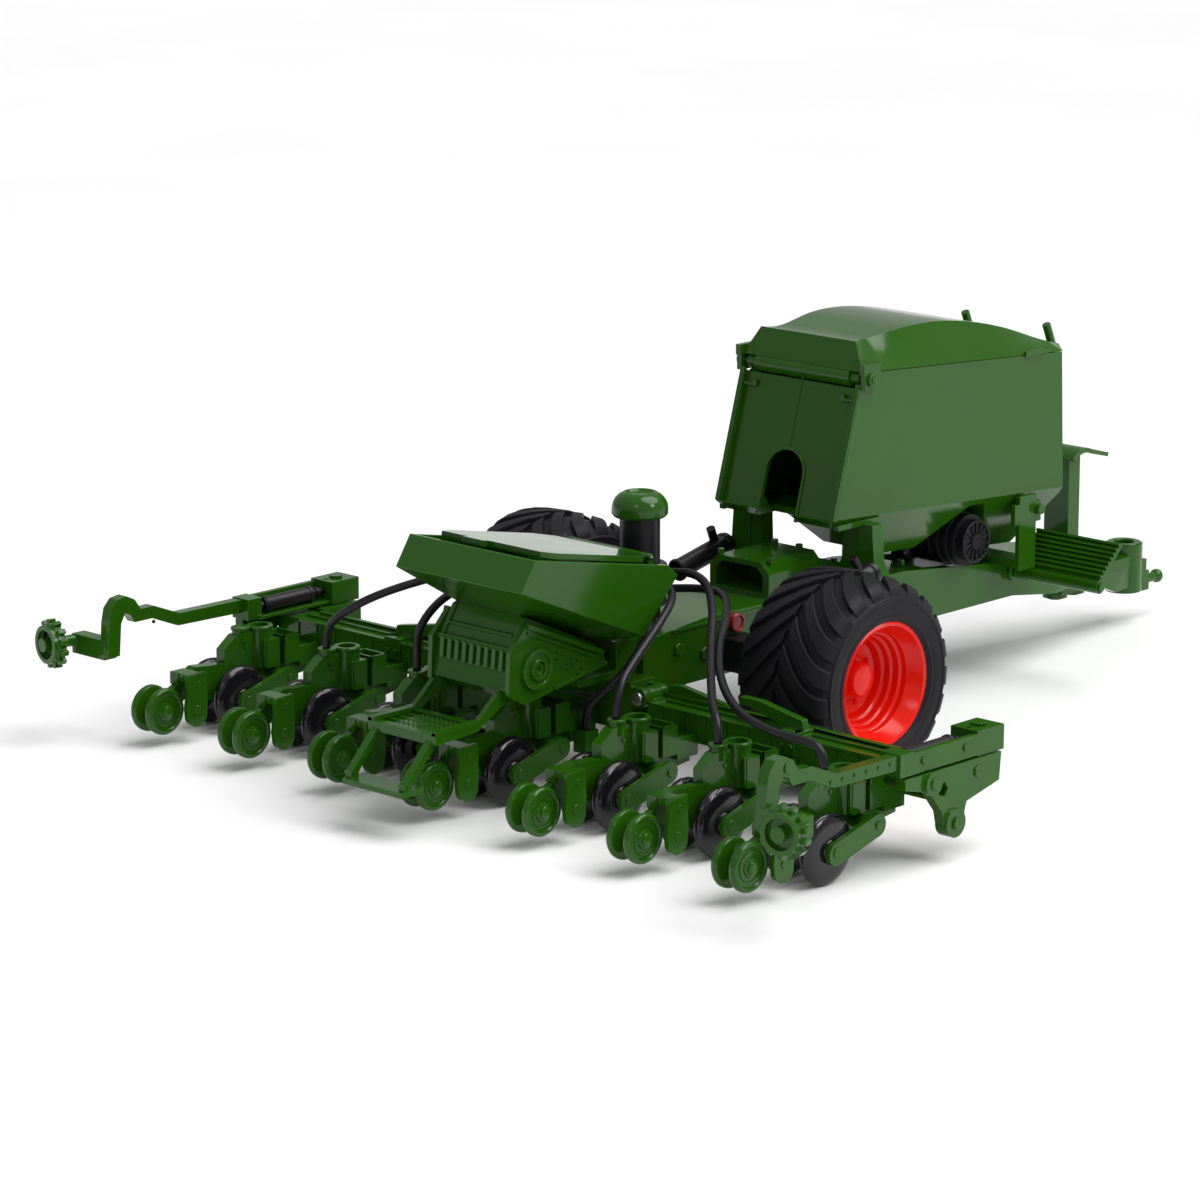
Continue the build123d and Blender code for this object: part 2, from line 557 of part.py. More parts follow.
cover_outline = [(-24, 9), (24, 9), (27, 15), (27, 58), (22, 65), (-22, 65), (-27, 58), (-27, 15)]
with BuildPart() as hopper_lid:
    with BuildSketch(mouth.offset(0.1)) as cover:
        with BuildLine():
            Polyline(*cover_outline, close=True)
        make_face()
    extrude(cover.sketch, amount=2.2)
    rod((-16.8, hinge_y, hinge_z), (16.8, hinge_y, hinge_z), 1.4)
    brick((-16.8, 84.5, 81), (16.8, hinge_y, 81.9))
    rod((-18, hinge_y, hinge_z), (18, hinge_y, hinge_z), 0.7 + fit, Mode.SUBTRACT)
    with BuildSketch(mouth.offset(0.1)) as latch:
        with Locations((-6, 8)):
            Rectangle(10, 4)
    extrude(latch.sketch, amount=2.2)
keep(hopper_lid, "hopper_lid")

box_outline = [
    (20.7, 44.5), (23.5, 58.3), (31, seat(31)), (64, seat(64)), (66.5, 51.6), (67.8, 46.3), (42, 42.2),
    (27.5, 40.2),
]
cheek_outline = [(19.6, 43.5), (20.4, 58.6), (29.2, 67.6), (66.8, 51.6), (68.2, 46.3), (42, 41.4), (27.5, 39)]
with BuildPart() as meter_box:
    plate(side(-box_half), 2 * box_half, box_outline)
    for hand in (-1, 1):
        cheek_x = box_half if hand > 0 else -box_half - 2
        plate(side(cheek_x), 2, cheek_outline)
        rod((hand * (box_half + 2), drum_y, drum_z), (hand * (box_half + 3.4), drum_y, drum_z), 6.8)
    rod((-15, drum_y, drum_z), (15, drum_y, drum_z), drum_radius + 0.4, Mode.SUBTRACT)
    rod((-22, drum_y, drum_z), (22, drum_y, drum_z), drum_shaft + fit, Mode.SUBTRACT)
    brick((-12, 50, 41), (12, 66, 44))
keep(meter_box, "meter_box")

with BuildPart() as meter_drum:
    rod((-14.7, drum_y, drum_z), (14.7, drum_y, drum_z), drum_radius)
    rod((-21.6, drum_y, drum_z), (21.6, drum_y, drum_z), drum_shaft)
    for hand in (-1, 1):
        rod((hand * 21.6, drum_y, drum_z), (hand * 20.4, drum_y, drum_z), 1.2, Mode.SUBTRACT)
keep(meter_drum, "meter_drum")

with BuildPart() as distributor_tube:
    rod((0, column_y, 53.2), (0, column_y, 58), 7.5)
    rod((0, column_y, 58), (0, column_y, 73), head_radius)
    rod((0, column_y, 73), (0, column_y, cap_z), column_radius)
keep(distributor_tube, "distributor_tube")

with BuildPart() as distributor_cap:
    with BuildSketch(Plane(origin=(0, press_y + column_y, cap_z), x_dir=(1, 0, 0), z_dir=(0, -1, 0))):
        with BuildLine():
            Polyline((0, 0), (9.4, 0), (10.2, 1), (10.2, 3.4))
            ThreePointArc((10.2, 3.4), (8.8, 6.8), (5.6, 8.9))
            Polyline((5.6, 8.9), (4.6, 7.9), (0, 7.9), (0, 0))
        make_face()
    revolve(axis=Axis((0, press_y + column_y, cap_z), (0, 0, 1)))
keep(distributor_cap, "distributor_cap")

rail_outline = [
    (26.8, 40.5), (20.7, 44.3), (17.6, 44.2), (8.5, 36.6), (-12.6, 36), (-12.6, 31.6), (7.5, 32.6),
    (19.5, 39.4),
]
leg_bend = [(-9, 33), (-12.6, 33), (-25.5, 19.5), (-25.5, 15.6), (-22, 15.6), (-22, 19), (-12, 29.5)]
with BuildPart() as rear_step:
    for hand in (-1, 1):
        rail = side(14.6 if hand > 0 else -16.6)
        plate(rail, 2, rail_outline)
        leg = side(11.6 if hand > 0 else -14.6)
        plate(leg, 3, leg_bend)
    brick((-16.6, -12.6, 31.6), (16.6, -9.4, 35))
    brick((-16.6, 6, 33), (16.6, 9, 35.6))
    for bar in range(4):
        brick((-15, -9.6 + bar * 4.2, 33), (15, -7.4 + bar * 4.2, 34.6))
    brick((-9, -12, 33), (9, 8, 34.4))
    brick((-14.6, -rear_reach, 15.4), (14.6, -16.5, 17.4))
keep(rear_step, "rear_step")

with BuildPart() as hinge_pins:
    for hand in (-1, 1):
        rod((hand * fold_x, 77, fold_z), (hand * fold_x, 91, fold_z), fold_pin)
        rod((hand * fold_x, 76.2, fold_z), (hand * fold_x, 77.9, fold_z), 2.4)
        rod((hand * 23.5, lid_pivot_y, lid_pivot_z), (hand * 32, lid_pivot_y, lid_pivot_z), lid_pin)
    rod((-20.6, hinge_y, hinge_z), (20.6, hinge_y, hinge_z), 0.7)
keep(hinge_pins, "hinge_pins")

# ---- seed hoses ---------------------------------------------------------------------------
# each runs from the distributor's head to its row's socket
hose_routes = {
    2: [(-9.5, 107.3, 68), (-24, 106, 70.5), (-41, 92, 71), (-55, 68, 67.5), (-72, 48, 60.5), (-87, 41, 51),
        (-96, 43, 43.5), (-96, 43, 36.55)],
    3: [(-9, 104.2, 63), (-22, 102, 65.5), (-34, 90, 68), (-39.5, 70, 68), (-42, 50, 64), (-46, 41.5, 54),
        (-49, 43, 45), (-49, 43, 36.55)],
    4: [(5, 99.25, 64), (12, 95, 61), (23, 89, 58), (28.5, 77.5, 52), (25, 71, 42), (15.5, 69.4, 34),
        (9, 69.6, 28), (9, 69.6, 20.05)],
    5: [(8.2, 102.5, 69), (20, 99, 70.5), (33, 90, 68.5), (39.5, 74, 62), (43.5, 59, 54.5), (49, 43, 47),
        (49, 43, 36.55)],
    6: [(9.5, 107.3, 70), (19, 109, 73), (31, 108.5, 71.5), (44, 98, 65.5), (58, 81, 57), (74, 63.5, 50.5),
        (88, 49, 46.5), (95.9, 43, 43.5), (95.9, 43, 36.55)],
    7: [(8.6, 111.5, 64), (20, 117, 65.5), (34, 116, 65.5), (47, 102, 62), (58, 85, 56.5), (76, 66, 50),
        (98, 50.5, 46), (120, 43.5, 44.5), (135, 42.8, 45), (142.8, 43, 43.2), (142.8, 43, 36.55)],
}
for number, route in hose_routes.items():
    points = [Vector(x, press_y + y, z) for x, y, z in route]
    runs = [(b - a).length for a, b in zip(points, points[1:])]
    turns = [(b - a).get_angle(c - b) for a, b, c in zip(points, points[1:], points[2:])]
    radii = [
        0.45 * min(before, after) / math.tan(math.radians(turn / 2))
        for before, after, turn in zip(runs, runs[1:], turns)
    ]
    with BuildPart() as hose:
        with BuildLine() as path:
            FilletPolyline(*points, radius=radii)
        with BuildSketch(Plane(origin=points[0], z_dir=points[1] - points[0])):
            Circle(hose_radius)
        sweep(path=path.wires()[0])
    length = path.wires()[0].length
    section = math.pi * hose_radius**2
    print(f"hose_{number}: length {length:.1f}, volume ratio {hose.part.volume / section / length:.4f}")
    print("  runs", [round(run, 1) for run in runs])
    print("  turns", [round(turn) for turn in turns], "radii", [round(radius, 1) for radius in radii])
    keep(hose, f"hose_{number}")
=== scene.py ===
"""Looks of a towed seven-row corn planter toy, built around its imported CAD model.

Metres, in the CAD frame: +X is the machine's right, +Y forward to the hitch, +Z up. Each operator makes
one piece or one group of like pieces, and the side panel lists them all.
"""

import json
import math

import bmesh
import bpy
from bpy.props import FloatProperty, FloatVectorProperty, IntProperty, PointerProperty
from mathutils import Matrix, Vector

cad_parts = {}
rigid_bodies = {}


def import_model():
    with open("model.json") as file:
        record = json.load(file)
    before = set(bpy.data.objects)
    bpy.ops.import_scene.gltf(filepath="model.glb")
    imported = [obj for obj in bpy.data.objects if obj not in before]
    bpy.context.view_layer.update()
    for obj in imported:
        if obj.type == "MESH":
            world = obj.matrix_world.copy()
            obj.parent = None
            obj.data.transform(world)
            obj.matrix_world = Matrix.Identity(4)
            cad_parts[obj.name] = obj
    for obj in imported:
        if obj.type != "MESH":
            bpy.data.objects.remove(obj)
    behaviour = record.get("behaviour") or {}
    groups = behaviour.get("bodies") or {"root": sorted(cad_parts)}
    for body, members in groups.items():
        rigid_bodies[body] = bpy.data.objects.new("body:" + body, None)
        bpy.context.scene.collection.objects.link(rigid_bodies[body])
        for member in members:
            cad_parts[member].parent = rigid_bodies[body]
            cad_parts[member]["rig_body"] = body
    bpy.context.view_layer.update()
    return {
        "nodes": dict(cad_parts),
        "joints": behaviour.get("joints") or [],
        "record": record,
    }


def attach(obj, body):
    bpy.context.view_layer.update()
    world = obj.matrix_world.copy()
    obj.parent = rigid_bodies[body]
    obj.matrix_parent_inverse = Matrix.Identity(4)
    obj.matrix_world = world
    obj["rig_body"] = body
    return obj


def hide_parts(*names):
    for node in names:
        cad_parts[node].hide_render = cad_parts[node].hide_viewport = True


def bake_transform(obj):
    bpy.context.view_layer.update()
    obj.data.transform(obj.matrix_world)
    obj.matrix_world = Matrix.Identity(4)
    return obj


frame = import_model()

bl_info = {
    "name": "Corn Planter Looks",
    "version": (1, 0, 0),
    "blender": (4, 5, 0),
    "location": "3D View > Sidebar > Planter",
    "description": "Builds the visible pieces, finishes and stage of a toy corn planter",
    "category": "Object",
}

MM = 0.001
JOINTS = {joint["name"]: joint for joint in frame["joints"]}
ROWS = range(1, 8)
HANDS = (("left", -1), ("right", 1))
SHARP = math.radians(36)  # edges that turn more than this stay crisp
# how wide the edges of the added pieces are rounded
TYRE_EDGE, EDGE, SMALL_EDGE, FINE_EDGE = 0.35 * MM, 0.15 * MM, 0.12 * MM, 0.1 * MM


# ---- places, read from the frame -----------------------------------------------------------
def pivot(joint):
    """A joint's point, in metres."""
    return Vector(JOINTS[joint]["pos_m"])


# everything along Y is told from a line that runs this many millimetres behind the press wheels' axles
AXLE_LEAD = 1.6
PRESS_Y = pivot("press_spin_1").y - AXLE_LEAD * MM


def spot(x, y, z):
    """A point told in millimetres: right, forward of the rows' rear line, up."""
    return Vector((x * MM, PRESS_Y + y * MM, z * MM))


# ---- settings ------------------------------------------------------------------------------
class PlanterFinish(bpy.types.PropertyGroup):
    """Colours and surface of the mouldings."""

    green: FloatVectorProperty(
        name="Green", description="Colour of the green mouldings", subtype="COLOR", size=3,
        default=(0.018, 0.088, 0.003), min=0, max=1,
    )
    red: FloatVectorProperty(
        name="Red", description="Colour of the wheel rims", subtype="COLOR", size=3,
        default=(0.74, 0.010, 0.004), min=0, max=1,
    )
    black: FloatVectorProperty(
        name="Black", description="Colour of the black mouldings", subtype="COLOR", size=3,
        default=(0.0075, 0.0065, 0.0090), min=0, max=1,
    )
    edge: FloatProperty(
        name="Edge radius", description="Rounding of moulded edges", default=0.28 * MM, min=0, unit="LENGTH",
        precision=5,
    )
    gloss: FloatProperty(
        name="Roughness", description="Roughness of the glossy green plastic", default=0.13, min=0, max=1,
    )


class PlanterTyres(bpy.types.PropertyGroup):
    """Tread of the road tyres."""

    lugs: IntProperty(name="Lugs", description="Lugs on each half of the tread", default=21, min=6, max=40)
    lug_width: FloatProperty(
        name="Lug width", description="Width of a lug along the tread", default=6.4 * MM, unit="LENGTH",
        precision=5,
    )
    lug_sweep: FloatProperty(
        name="Lug sweep", description="Turn of a lug from the tread's middle to the shoulder",
        default=math.radians(30), subtype="ANGLE",
    )


class PlanterHoses(bpy.types.PropertyGroup):
    """The seed hoses."""

    diameter: FloatProperty(
        name="Hose diameter", description="Outside diameter of a seed hose", default=3.0 * MM, unit="LENGTH",
        precision=5,
    )


class PlanterStage(bpy.types.PropertyGroup):
    """Camera, light and floor."""

    azimuth: FloatProperty(
        name="Azimuth", description="Direction that the camera looks, from forward", subtype="ANGLE",
        default=math.radians(43.38),
    )
    elevation: FloatProperty(
        name="Elevation", description="Height of the camera above the horizon", subtype="ANGLE",
        default=math.radians(13.58),
    )
    distance: FloatProperty(
        name="Distance", description="From the camera to the point it looks at", default=1.7034,
        unit="LENGTH",
    )
    lens: FloatProperty(name="Lens", description="Focal length in millimetres", default=141.83)
    key: FloatProperty(name="Key light", description="Power of the soft key light in watts", default=3.5)
    sky: FloatProperty(name="Sky", description="Strength of the white surround", default=0.44)
    sun: FloatProperty(name="Overhead", description="Strength of the wide overhead light", default=2.5)


def finish():
    return bpy.context.scene.planter_finish


# ---- materials -----------------------------------------------------------------------------
MATERIALS = {}


def new_material(name):
    """An empty node material with a Principled shader, plus its shader and tree."""
    material = bpy.data.materials.new(name)
    material.use_nodes = True
    tree = material.node_tree
    shader = tree.nodes["Principled BSDF"]
    return material, tree, shader


def noise_of(tree, scale, detail=3.0, roughness=0.55):
    """A noise texture in object coordinates."""
    place = tree.nodes.new("ShaderNodeTexCoord")
    noise = tree.nodes.new("ShaderNodeTexNoise")
    noise.inputs["Scale"].default_value = scale
    noise.inputs["Detail"].default_value = detail
    noise.inputs["Roughness"].default_value = roughness
    tree.links.new(place.outputs["Object"], noise.inputs["Vector"])
    return noise


def spread(tree, source, low, high, into, start=0.3, stop=0.7):
    """Maps a noise to a range of values and feeds it to a socket."""
    ramp = tree.nodes.new("ShaderNodeMapRange")
    ramp.inputs["From Min"].default_value = start
    ramp.inputs["From Max"].default_value = stop
    ramp.inputs["To Min"].default_value = low
    ramp.inputs["To Max"].default_value = high
    tree.links.new(source.outputs["Fac"], ramp.inputs["Value"])
    tree.links.new(ramp.outputs["Result"], into)


def tinted(tree, source, dark, light, into, start=0.35, stop=0.65):
    """Mixes two colours by a noise and feeds them to a socket."""
    ramp = tree.nodes.new("ShaderNodeValToRGB")
    ramp.color_ramp.elements[0].position = start
    ramp.color_ramp.elements[1].position = stop
    ramp.color_ramp.elements[0].color = (*dark, 1)
    ramp.color_ramp.elements[1].color = (*light, 1)
    tree.links.new(source.outputs["Fac"], ramp.inputs["Fac"])
    tree.links.new(ramp.outputs["Color"], into)


def bumped(tree, shader, sources):
    """Chains bumps from (noise, strength, distance) onto the shader's normal."""
    normal = None
    for noise, strength, distance in sources:
        bump = tree.nodes.new("ShaderNodeBump")
        bump.inputs["Strength"].default_value = strength
        bump.inputs["Distance"].default_value = distance
        tree.links.new(noise.outputs["Fac"], bump.inputs["Height"])
        if normal:
            tree.links.new(normal, bump.inputs["Normal"])
        normal = bump.outputs["Normal"]
    tree.links.new(normal, shader.inputs["Normal"])


def scaled(colour, factor):
    return tuple(min(1.0, c * factor) for c in colour)


def moulded_plastic(name, colour, roughness, painted_edge_highlight=0.0, specular=0.5):
    """Injection-moulded plastic: faint colour drift, uneven gloss, a fine grain and a slow sink-mark wave."""
    material, tree, shader = new_material(name)
    drift = noise_of(tree, 22, 3)
    # a lift above nought brightens the whole colour: a painted highlight, used for the rounded edge strips
    tinted(tree, drift, scaled(colour, 0.96 + painted_edge_highlight), scaled(colour, 1.04 + painted_edge_highlight), shader.inputs["Base Color"])
    spread(tree, noise_of(tree, 60, 4, 0.6), roughness * 0.9, roughness * 1.15, shader.inputs["Roughness"])
    bumped(tree, shader, [(noise_of(tree, 14, 1), 0.05, 0.0006), (noise_of(tree, 2600, 2), 0.03, 0.00003)])
    shader.inputs["IOR"].default_value = 1.5
    shader.inputs["Specular IOR Level"].default_value = specular
    return material


def soft_rubber(name, colour, roughness, grain, specular):
    """Soft vinyl: matt, slightly dusty in patches, with a fine grain."""
    material, tree, shader = new_material(name)
    drift = noise_of(tree, 60, 5)
    tinted(tree, drift, scaled(colour, 0.85), scaled(colour, 1.3), shader.inputs["Base Color"])
    spread(tree, noise_of(tree, 140, 4), roughness * 0.9, roughness * 1.1, shader.inputs["Roughness"])
    bumped(tree, shader, [(noise_of(tree, grain, 3), 0.18, 0.00006)])
    shader.inputs["IOR"].default_value = 1.48
    shader.inputs["Specular IOR Level"].default_value = specular
    return material


def drawn_steel(name):
    """Plain steel pin, drawn along its length."""
    material, tree, shader = new_material(name)
    shader.inputs["Metallic"].default_value = 1.0
    streak = noise_of(tree, 900, 2)
    tinted(tree, streak, (0.30, 0.30, 0.31), (0.48, 0.48, 0.49), shader.inputs["Base Color"])
    spread(tree, streak, 0.24, 0.4, shader.inputs["Roughness"])
    bumped(tree, shader, [(streak, 0.08, 0.00003)])
    return material


def make_materials():
    look = finish()
    green, red, black = tuple(look.green), tuple(look.red), tuple(look.black)
    MATERIALS.update(
        green=moulded_plastic("green_moulding", green, look.gloss, specular=0.33),
        # lighter, rougher copy of the green for the rounded edge strips; the lighter colour is a painted edge
        # highlight
        green_edge=moulded_plastic("green_moulding_painted_highlight", green, look.gloss * 1.5, painted_edge_highlight=0.30, specular=0.36),
        red=moulded_plastic("red_moulding", red, 0.18, specular=0.3),
        # the rims' red darkened to 0.28: painted shade for the red cap, which sits back out of the light
        dark_red=moulded_plastic("dark_red_moulding", scaled(red, 0.28), 0.2),
        gauge_black=moulded_plastic("gloss_black_moulding", black, 0.12, specular=0.45),
        black=moulded_plastic("satin_black_moulding", black, 0.34, specular=0.3),
        tyre=soft_rubber("tyre_vinyl", black, 0.55, 2200, 0.22),
        hose=soft_rubber("hose_vinyl", black, 0.38, 900, 0.35),
        steel=drawn_steel("pin_steel"),
    )


# ---- mesh helpers --------------------------------------------------------------------------
def piece_from(mesh, name, body, slot, bevel=0.0):
    """Links a mesh as a piece on a body, with its finish, and rounds its edges."""
    piece = bpy.data.objects.new(name, mesh)
    bpy.context.scene.collection.objects.link(piece)
    mesh.materials.clear()
    mesh.materials.append(MATERIALS[slot])
    mesh.shade_smooth()
    mesh.set_sharp_from_angle(angle=SHARP)
    if bevel:
        round_edges(piece, bevel, edge_slot=False)
    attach(piece, body)
    return piece


def round_edges(piece, width, edge_slot=True, segments=2):
    """Rounds the hard edges with modifiers; the second material slot, if any, takes the rounded strips."""
    weld = piece.modifiers.new("weld", "WELD")
    weld.merge_threshold = 0.000004
    flat = piece.modifiers.new("flat", "DECIMATE")
    flat.decimate_type = "DISSOLVE"
    flat.angle_limit = math.radians(0.6)
    bevel = piece.modifiers.new("round", "BEVEL")
    bevel.width = width
    bevel.segments = segments
    bevel.limit_method = "ANGLE"
    bevel.angle_limit = math.radians(32)
    bevel.use_clamp_overlap = True
    bevel.harden_normals = False
    if edge_slot:
        bevel.material = 1
    normals = piece.modifiers.new("normals", "WEIGHTED_NORMAL")
    normals.keep_sharp = True


def mesh_of(name, build):
    """A mesh filled by build(bm)."""
    mesh = bpy.data.meshes.new(name)
    bm = bmesh.new()
    build(bm)
    bmesh.ops.recalc_face_normals(bm, faces=bm.faces)
    bm.to_mesh(mesh)
    bm.free()
    return mesh


def turn_from_z(direction):
    """Rotation that takes +Z to a direction."""
    return Vector((0, 0, 1)).rotation_difference(Vector(direction).normalized()).to_matrix().to_4x4()


def add_block(bm, low, high, matrix=None):
    """A block between two corners, in metres."""
    low, high = Vector(low), Vector(high)
    made = bmesh.ops.create_cube(bm, size=1)["verts"]
    size, centre = high - low, (high + low) / 2
    place = Matrix.Translation(centre) @ Matrix.Diagonal((*[abs(s) for s in size], 1))
    bmesh.ops.transform(bm, matrix=(matrix or Matrix.Identity(4)) @ place, verts=made)
    return made


def add_lathe(bm, profile, place, segments=48, close=True):
    """Turns a profile of (radius, height) about +Z, then places it."""
    rings = []
    for radius, height in profile:
        if radius < 1e-7:
            rings.append([bm.verts.new((0, 0, height))])
        else:
            angles = [math.tau * k / segments for k in range(segments)]
            rings.append([
                bm.verts.new((radius * math.cos(angle), radius * math.sin(angle), height)) for angle in angles
            ])
    pairs = list(zip(rings, rings[1:]))
    if close and len(rings[0]) > 1 and len(rings[-1]) > 1:
        pairs.append((rings[-1], rings[0]))
    for a, b in pairs:
        for k in range(segments):
            corners = [a[k % len(a)], a[(k + 1) % len(a)], b[(k + 1) % len(b)], b[k % len(b)]]
            unique = list(dict.fromkeys(corners))
            if len(unique) > 2:
                bm.faces.new(unique)
    verts = [v for circle in rings for v in circle]
    bmesh.ops.transform(bm, matrix=place, verts=verts)


def add_rod(bm, start, end, radius, segments=20):
    """A round bar with a small chamfer at both ends."""
    start, end = Vector(start), Vector(end)
    length = (end - start).length
    rim = min(radius * 0.12, length * 0.4)
    profile = [
        (0, 0), (radius - rim, 0), (radius, rim), (radius, length - rim), (radius - rim, length), (0, length),
    ]
    add_lathe(bm, profile, Matrix.Translation(start) @ turn_from_z(end - start), segments, close=False)


def add_prism(bm, outline, place, thickness):
    """A flat plate: an outline in its own plane, thickened along the plane's normal."""
    low = [bm.verts.new(place @ Vector((a, b, 0))) for a, b in outline]
    high = [bm.verts.new(place @ Vector((a, b, thickness))) for a, b in outline]
    bm.faces.new(low[::-1])
    bm.faces.new(high)
    count = len(outline)
    for k in range(count):
        bm.faces.new((low[k], low[(k + 1) % count], high[(k + 1) % count], high[k]))


def side_plane(x):
    """Matrix of a side view at x millimetres: first coordinate forward, second up, in metres."""
    return Matrix((
        (0, 0, 1, x * MM),
        (1, 0, 0, PRESS_Y),
        (0, 1, 0, 0),
        (0, 0, 0, 1),
    ))


def in_mm(points):
    return [tuple(c * MM for c in p) for p in points]


# ---- mouldings: every node that keeps its own form ------------------------------------------
OWN_SHAPE = ("tyre_", "rim_", "press_wheels_", "gauge_wheels_", "hose_")


class PLANTER_OT_mouldings(bpy.types.Operator):
    """Makes every moulding with rounded edges, rougher and painted lighter along the rounded strips as a
    painted highlight
    """

    bl_idname = "planter.mouldings"
    bl_label = "Mouldings"

    def execute(self, context):
        slots = {row["node"]: row["material_slot"] for row in frame["record"]["subparts"]}
        for name, node in frame["nodes"].items():
            if name.startswith(OWN_SHAPE):
                continue
            slot = slots[name]
            mesh = node.data.copy()
            mesh.materials.clear()
            mesh.materials.append(MATERIALS[slot])
            # second slot takes the rounded strips; on green it is the painted edge highlight
            mesh.materials.append(MATERIALS["green_edge" if slot == "green" else slot])
            mesh.shade_smooth()
            mesh.set_sharp_from_angle(angle=SHARP)
            moulding = bpy.data.objects.new(f"{name}_moulding", mesh)
            moulding.matrix_world = node.matrix_world
            context.scene.collection.objects.link(moulding)
            round_edges(moulding, finish().edge)
            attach(moulding, node["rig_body"])
            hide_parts(name)
        return {"FINISHED"}


def detail(name, body, slot, build, edge=0.0):
    """A piece made of small raised forms on one body."""
    return piece_from(mesh_of(name, build), name, body, slot, bevel=edge)


def block(bm, low, high):
    """A block between two corners told in millimetres."""
    add_block(bm, spot(*low), spot(*high))


def bar(bm, start, end, radius, segments=20):
    """A round bar between two centres told in millimetres."""
    add_rod(bm, spot(*start), spot(*end), radius * MM, segments)


def ring(bm, profile, place, segments=48, close=True):
    """A turned form whose profile of (radius, height) is told in millimetres."""
    add_lathe(bm, in_mm(profile), place, segments, close)


def slab(bm, outline, x, thickness):
    """A plate seen from the side, told in millimetres, from x towards the machine's right."""
    add_prism(bm, in_mm(outline), side_plane(x), thickness * MM)


def across(x, y, z, hand=1):
    """Matrix whose +Z points to the machine's right, or left, from a point told in millimetres."""
    return Matrix.Translation(spot(x, y, z)) @ turn_from_z((hand, 0, 0))


# ---- road wheels ---------------------------------------------------------------------------
TYRE_RADIUS = 38.0  # over the lugs
# radius, then distance from the tyre's middle
SIDEWALL = [
    (21.8, 18.2), (22.6, 19.4), (24.0, 20.0), (24.4, 20.5), (25.0, 20.5), (25.4, 20.2), (28, 20.7),
    (30.4, 20.6), (30.8, 21.0), (31.4, 21.0), (31.8, 20.3), (33.6, 19.2), (35.0, 16.4),
]
CROWN = [(35.7, -9), (35.9, 0), (35.7, 9)]  # the carcass between the two sidewalls
# lug stations: distance from the tread's middle, radius at its foot and at its top
LUG = [
    (0.7, 35.2, 37.9), (4, 35.2, 38.0), (8, 35.1, 37.8), (12, 34.9, 37.5), (15.4, 34.4, 37.0),
    (17.6, 33.6, 36.2), (19.3, 32.4, 34.6), (20.3, 30.6, 32.4),
]
# radius, then distance outwards from the wheel's middle
RIM = [
    (0, 9.2), (5.3, 9.1), (5.7, 8.6), (5.7, 2.0), (4.2, 1.0), (4.2, -6), (7, -6), (7, 0), (16, 0),
    (18.2, -17.6), (21.75, -17.6), (21.75, 18.0), (22.7, 18.6), (22.8, 19.4), (22.2, 19.9), (21.2, 19.4),
    (18.9, 14.6), (18.3, 13.9), (18.2, 12.0), (17.7, 11.5), (17.2, 11.3), (16.9, 9.0), (16.4, 8.5),
    (15.9, 8.3), (15.6, 6.1), (15.1, 5.6), (14.6, 5.3), (13.6, 2.7), (12.8, 2.2), (8.4, 2.2), (8.1, 3.1),
    (7.6, 3.3), (6.6, 3.0), (6.4, 7.4), (6.1, 8.7), (5.4, 9.6), (3.4, 10.1), (0, 10.2),
]
# six-sided bolts on the rim's dish
RIM_BOLT = [(0, 0), (1.1, 0), (1.1, 1.0), (0.8, 1.3), (0, 1.3)]
BOLT_CIRCLE, BOLT_SEAT, BOLT_COUNT = 10.5, 2.0, 8


def add_lug(bm, place, side, start, sweep, width):
    """One curved lug of the tread, from its middle over the shoulder."""
    sections = []
    reach = LUG[-1][0]
    for offset, foot, top in LUG:
        run = offset / reach
        angle = start - sweep * (1 - (1 - run) ** 1.5)
        half = width / 2 / TYRE_RADIUS * (0.80 + 0.35 * run)
        corners = ((foot, -half * 1.25), (top, -half), (top, half), (foot, half * 1.25))
        section = []
        for radius, turn in corners:
            forward, up = -radius * math.cos(angle + turn), radius * math.sin(angle + turn)
            section.append(bm.verts.new(place @ Vector((forward * MM, up * MM, side * offset * MM))))
        sections.append(section)
    for a, b in zip(sections, sections[1:]):
        for k in range(4):
            bm.faces.new((a[k], a[(k + 1) % 4], b[(k + 1) % 4], b[k]))
    bm.faces.new(sections[0][::-1])
    bm.faces.new(sections[-1])


class PLANTER_OT_road_wheels(bpy.types.Operator):
    """Makes the two lugged tyres and their red rims"""

    bl_idname = "planter.road_wheels"
    bl_label = "Road wheels"

    def execute(self, context):
        tread = context.scene.planter_tyres
        profile = [(radius, -offset) for radius, offset in SIDEWALL] + CROWN + SIDEWALL[::-1]
        for name, hand in HANDS:
            body = f"road_wheel_{name}"
            centre = pivot(f"road_wheel_spin_{name}")
            # +X of this place points forward, +Y up, +Z to the machine's right
            place = Matrix.Translation(centre) @ Matrix(((0, 0, 1), (1, 0, 0), (0, 1, 0))).to_4x4()

            def build_tyre(bm):
                ring(bm, profile, place, 96)
                for k in range(tread.lugs):
                    start = math.tau * k / tread.lugs
                    for side, shift in ((-1, 0), (1, math.pi / tread.lugs)):
                        add_lug(bm, place, side, start + shift, tread.lug_sweep, tread.lug_width / MM)

            tyre = detail(f"lugged_tyre_{name}", body, "tyre", build_tyre, edge=TYRE_EDGE)
            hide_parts(f"tyre_{name}")

            def build_rim(bm):
                turned = Matrix.Translation(centre) @ turn_from_z((hand, 0, 0))
                ring(bm, RIM, turned, 80)
                for k in range(BOLT_COUNT):
                    angle = math.tau * (k + 0.5) / BOLT_COUNT
                    seat = Vector((BOLT_CIRCLE * math.cos(angle), BOLT_CIRCLE * math.sin(angle), BOLT_SEAT))
                    ring(bm, RIM_BOLT, turned @ Matrix.Translation(seat * MM), 6, close=False)

            rim = detail(f"red_rim_{name}", body, "red", build_rim)
            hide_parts(f"rim_{name}")
        return {"FINISHED"}


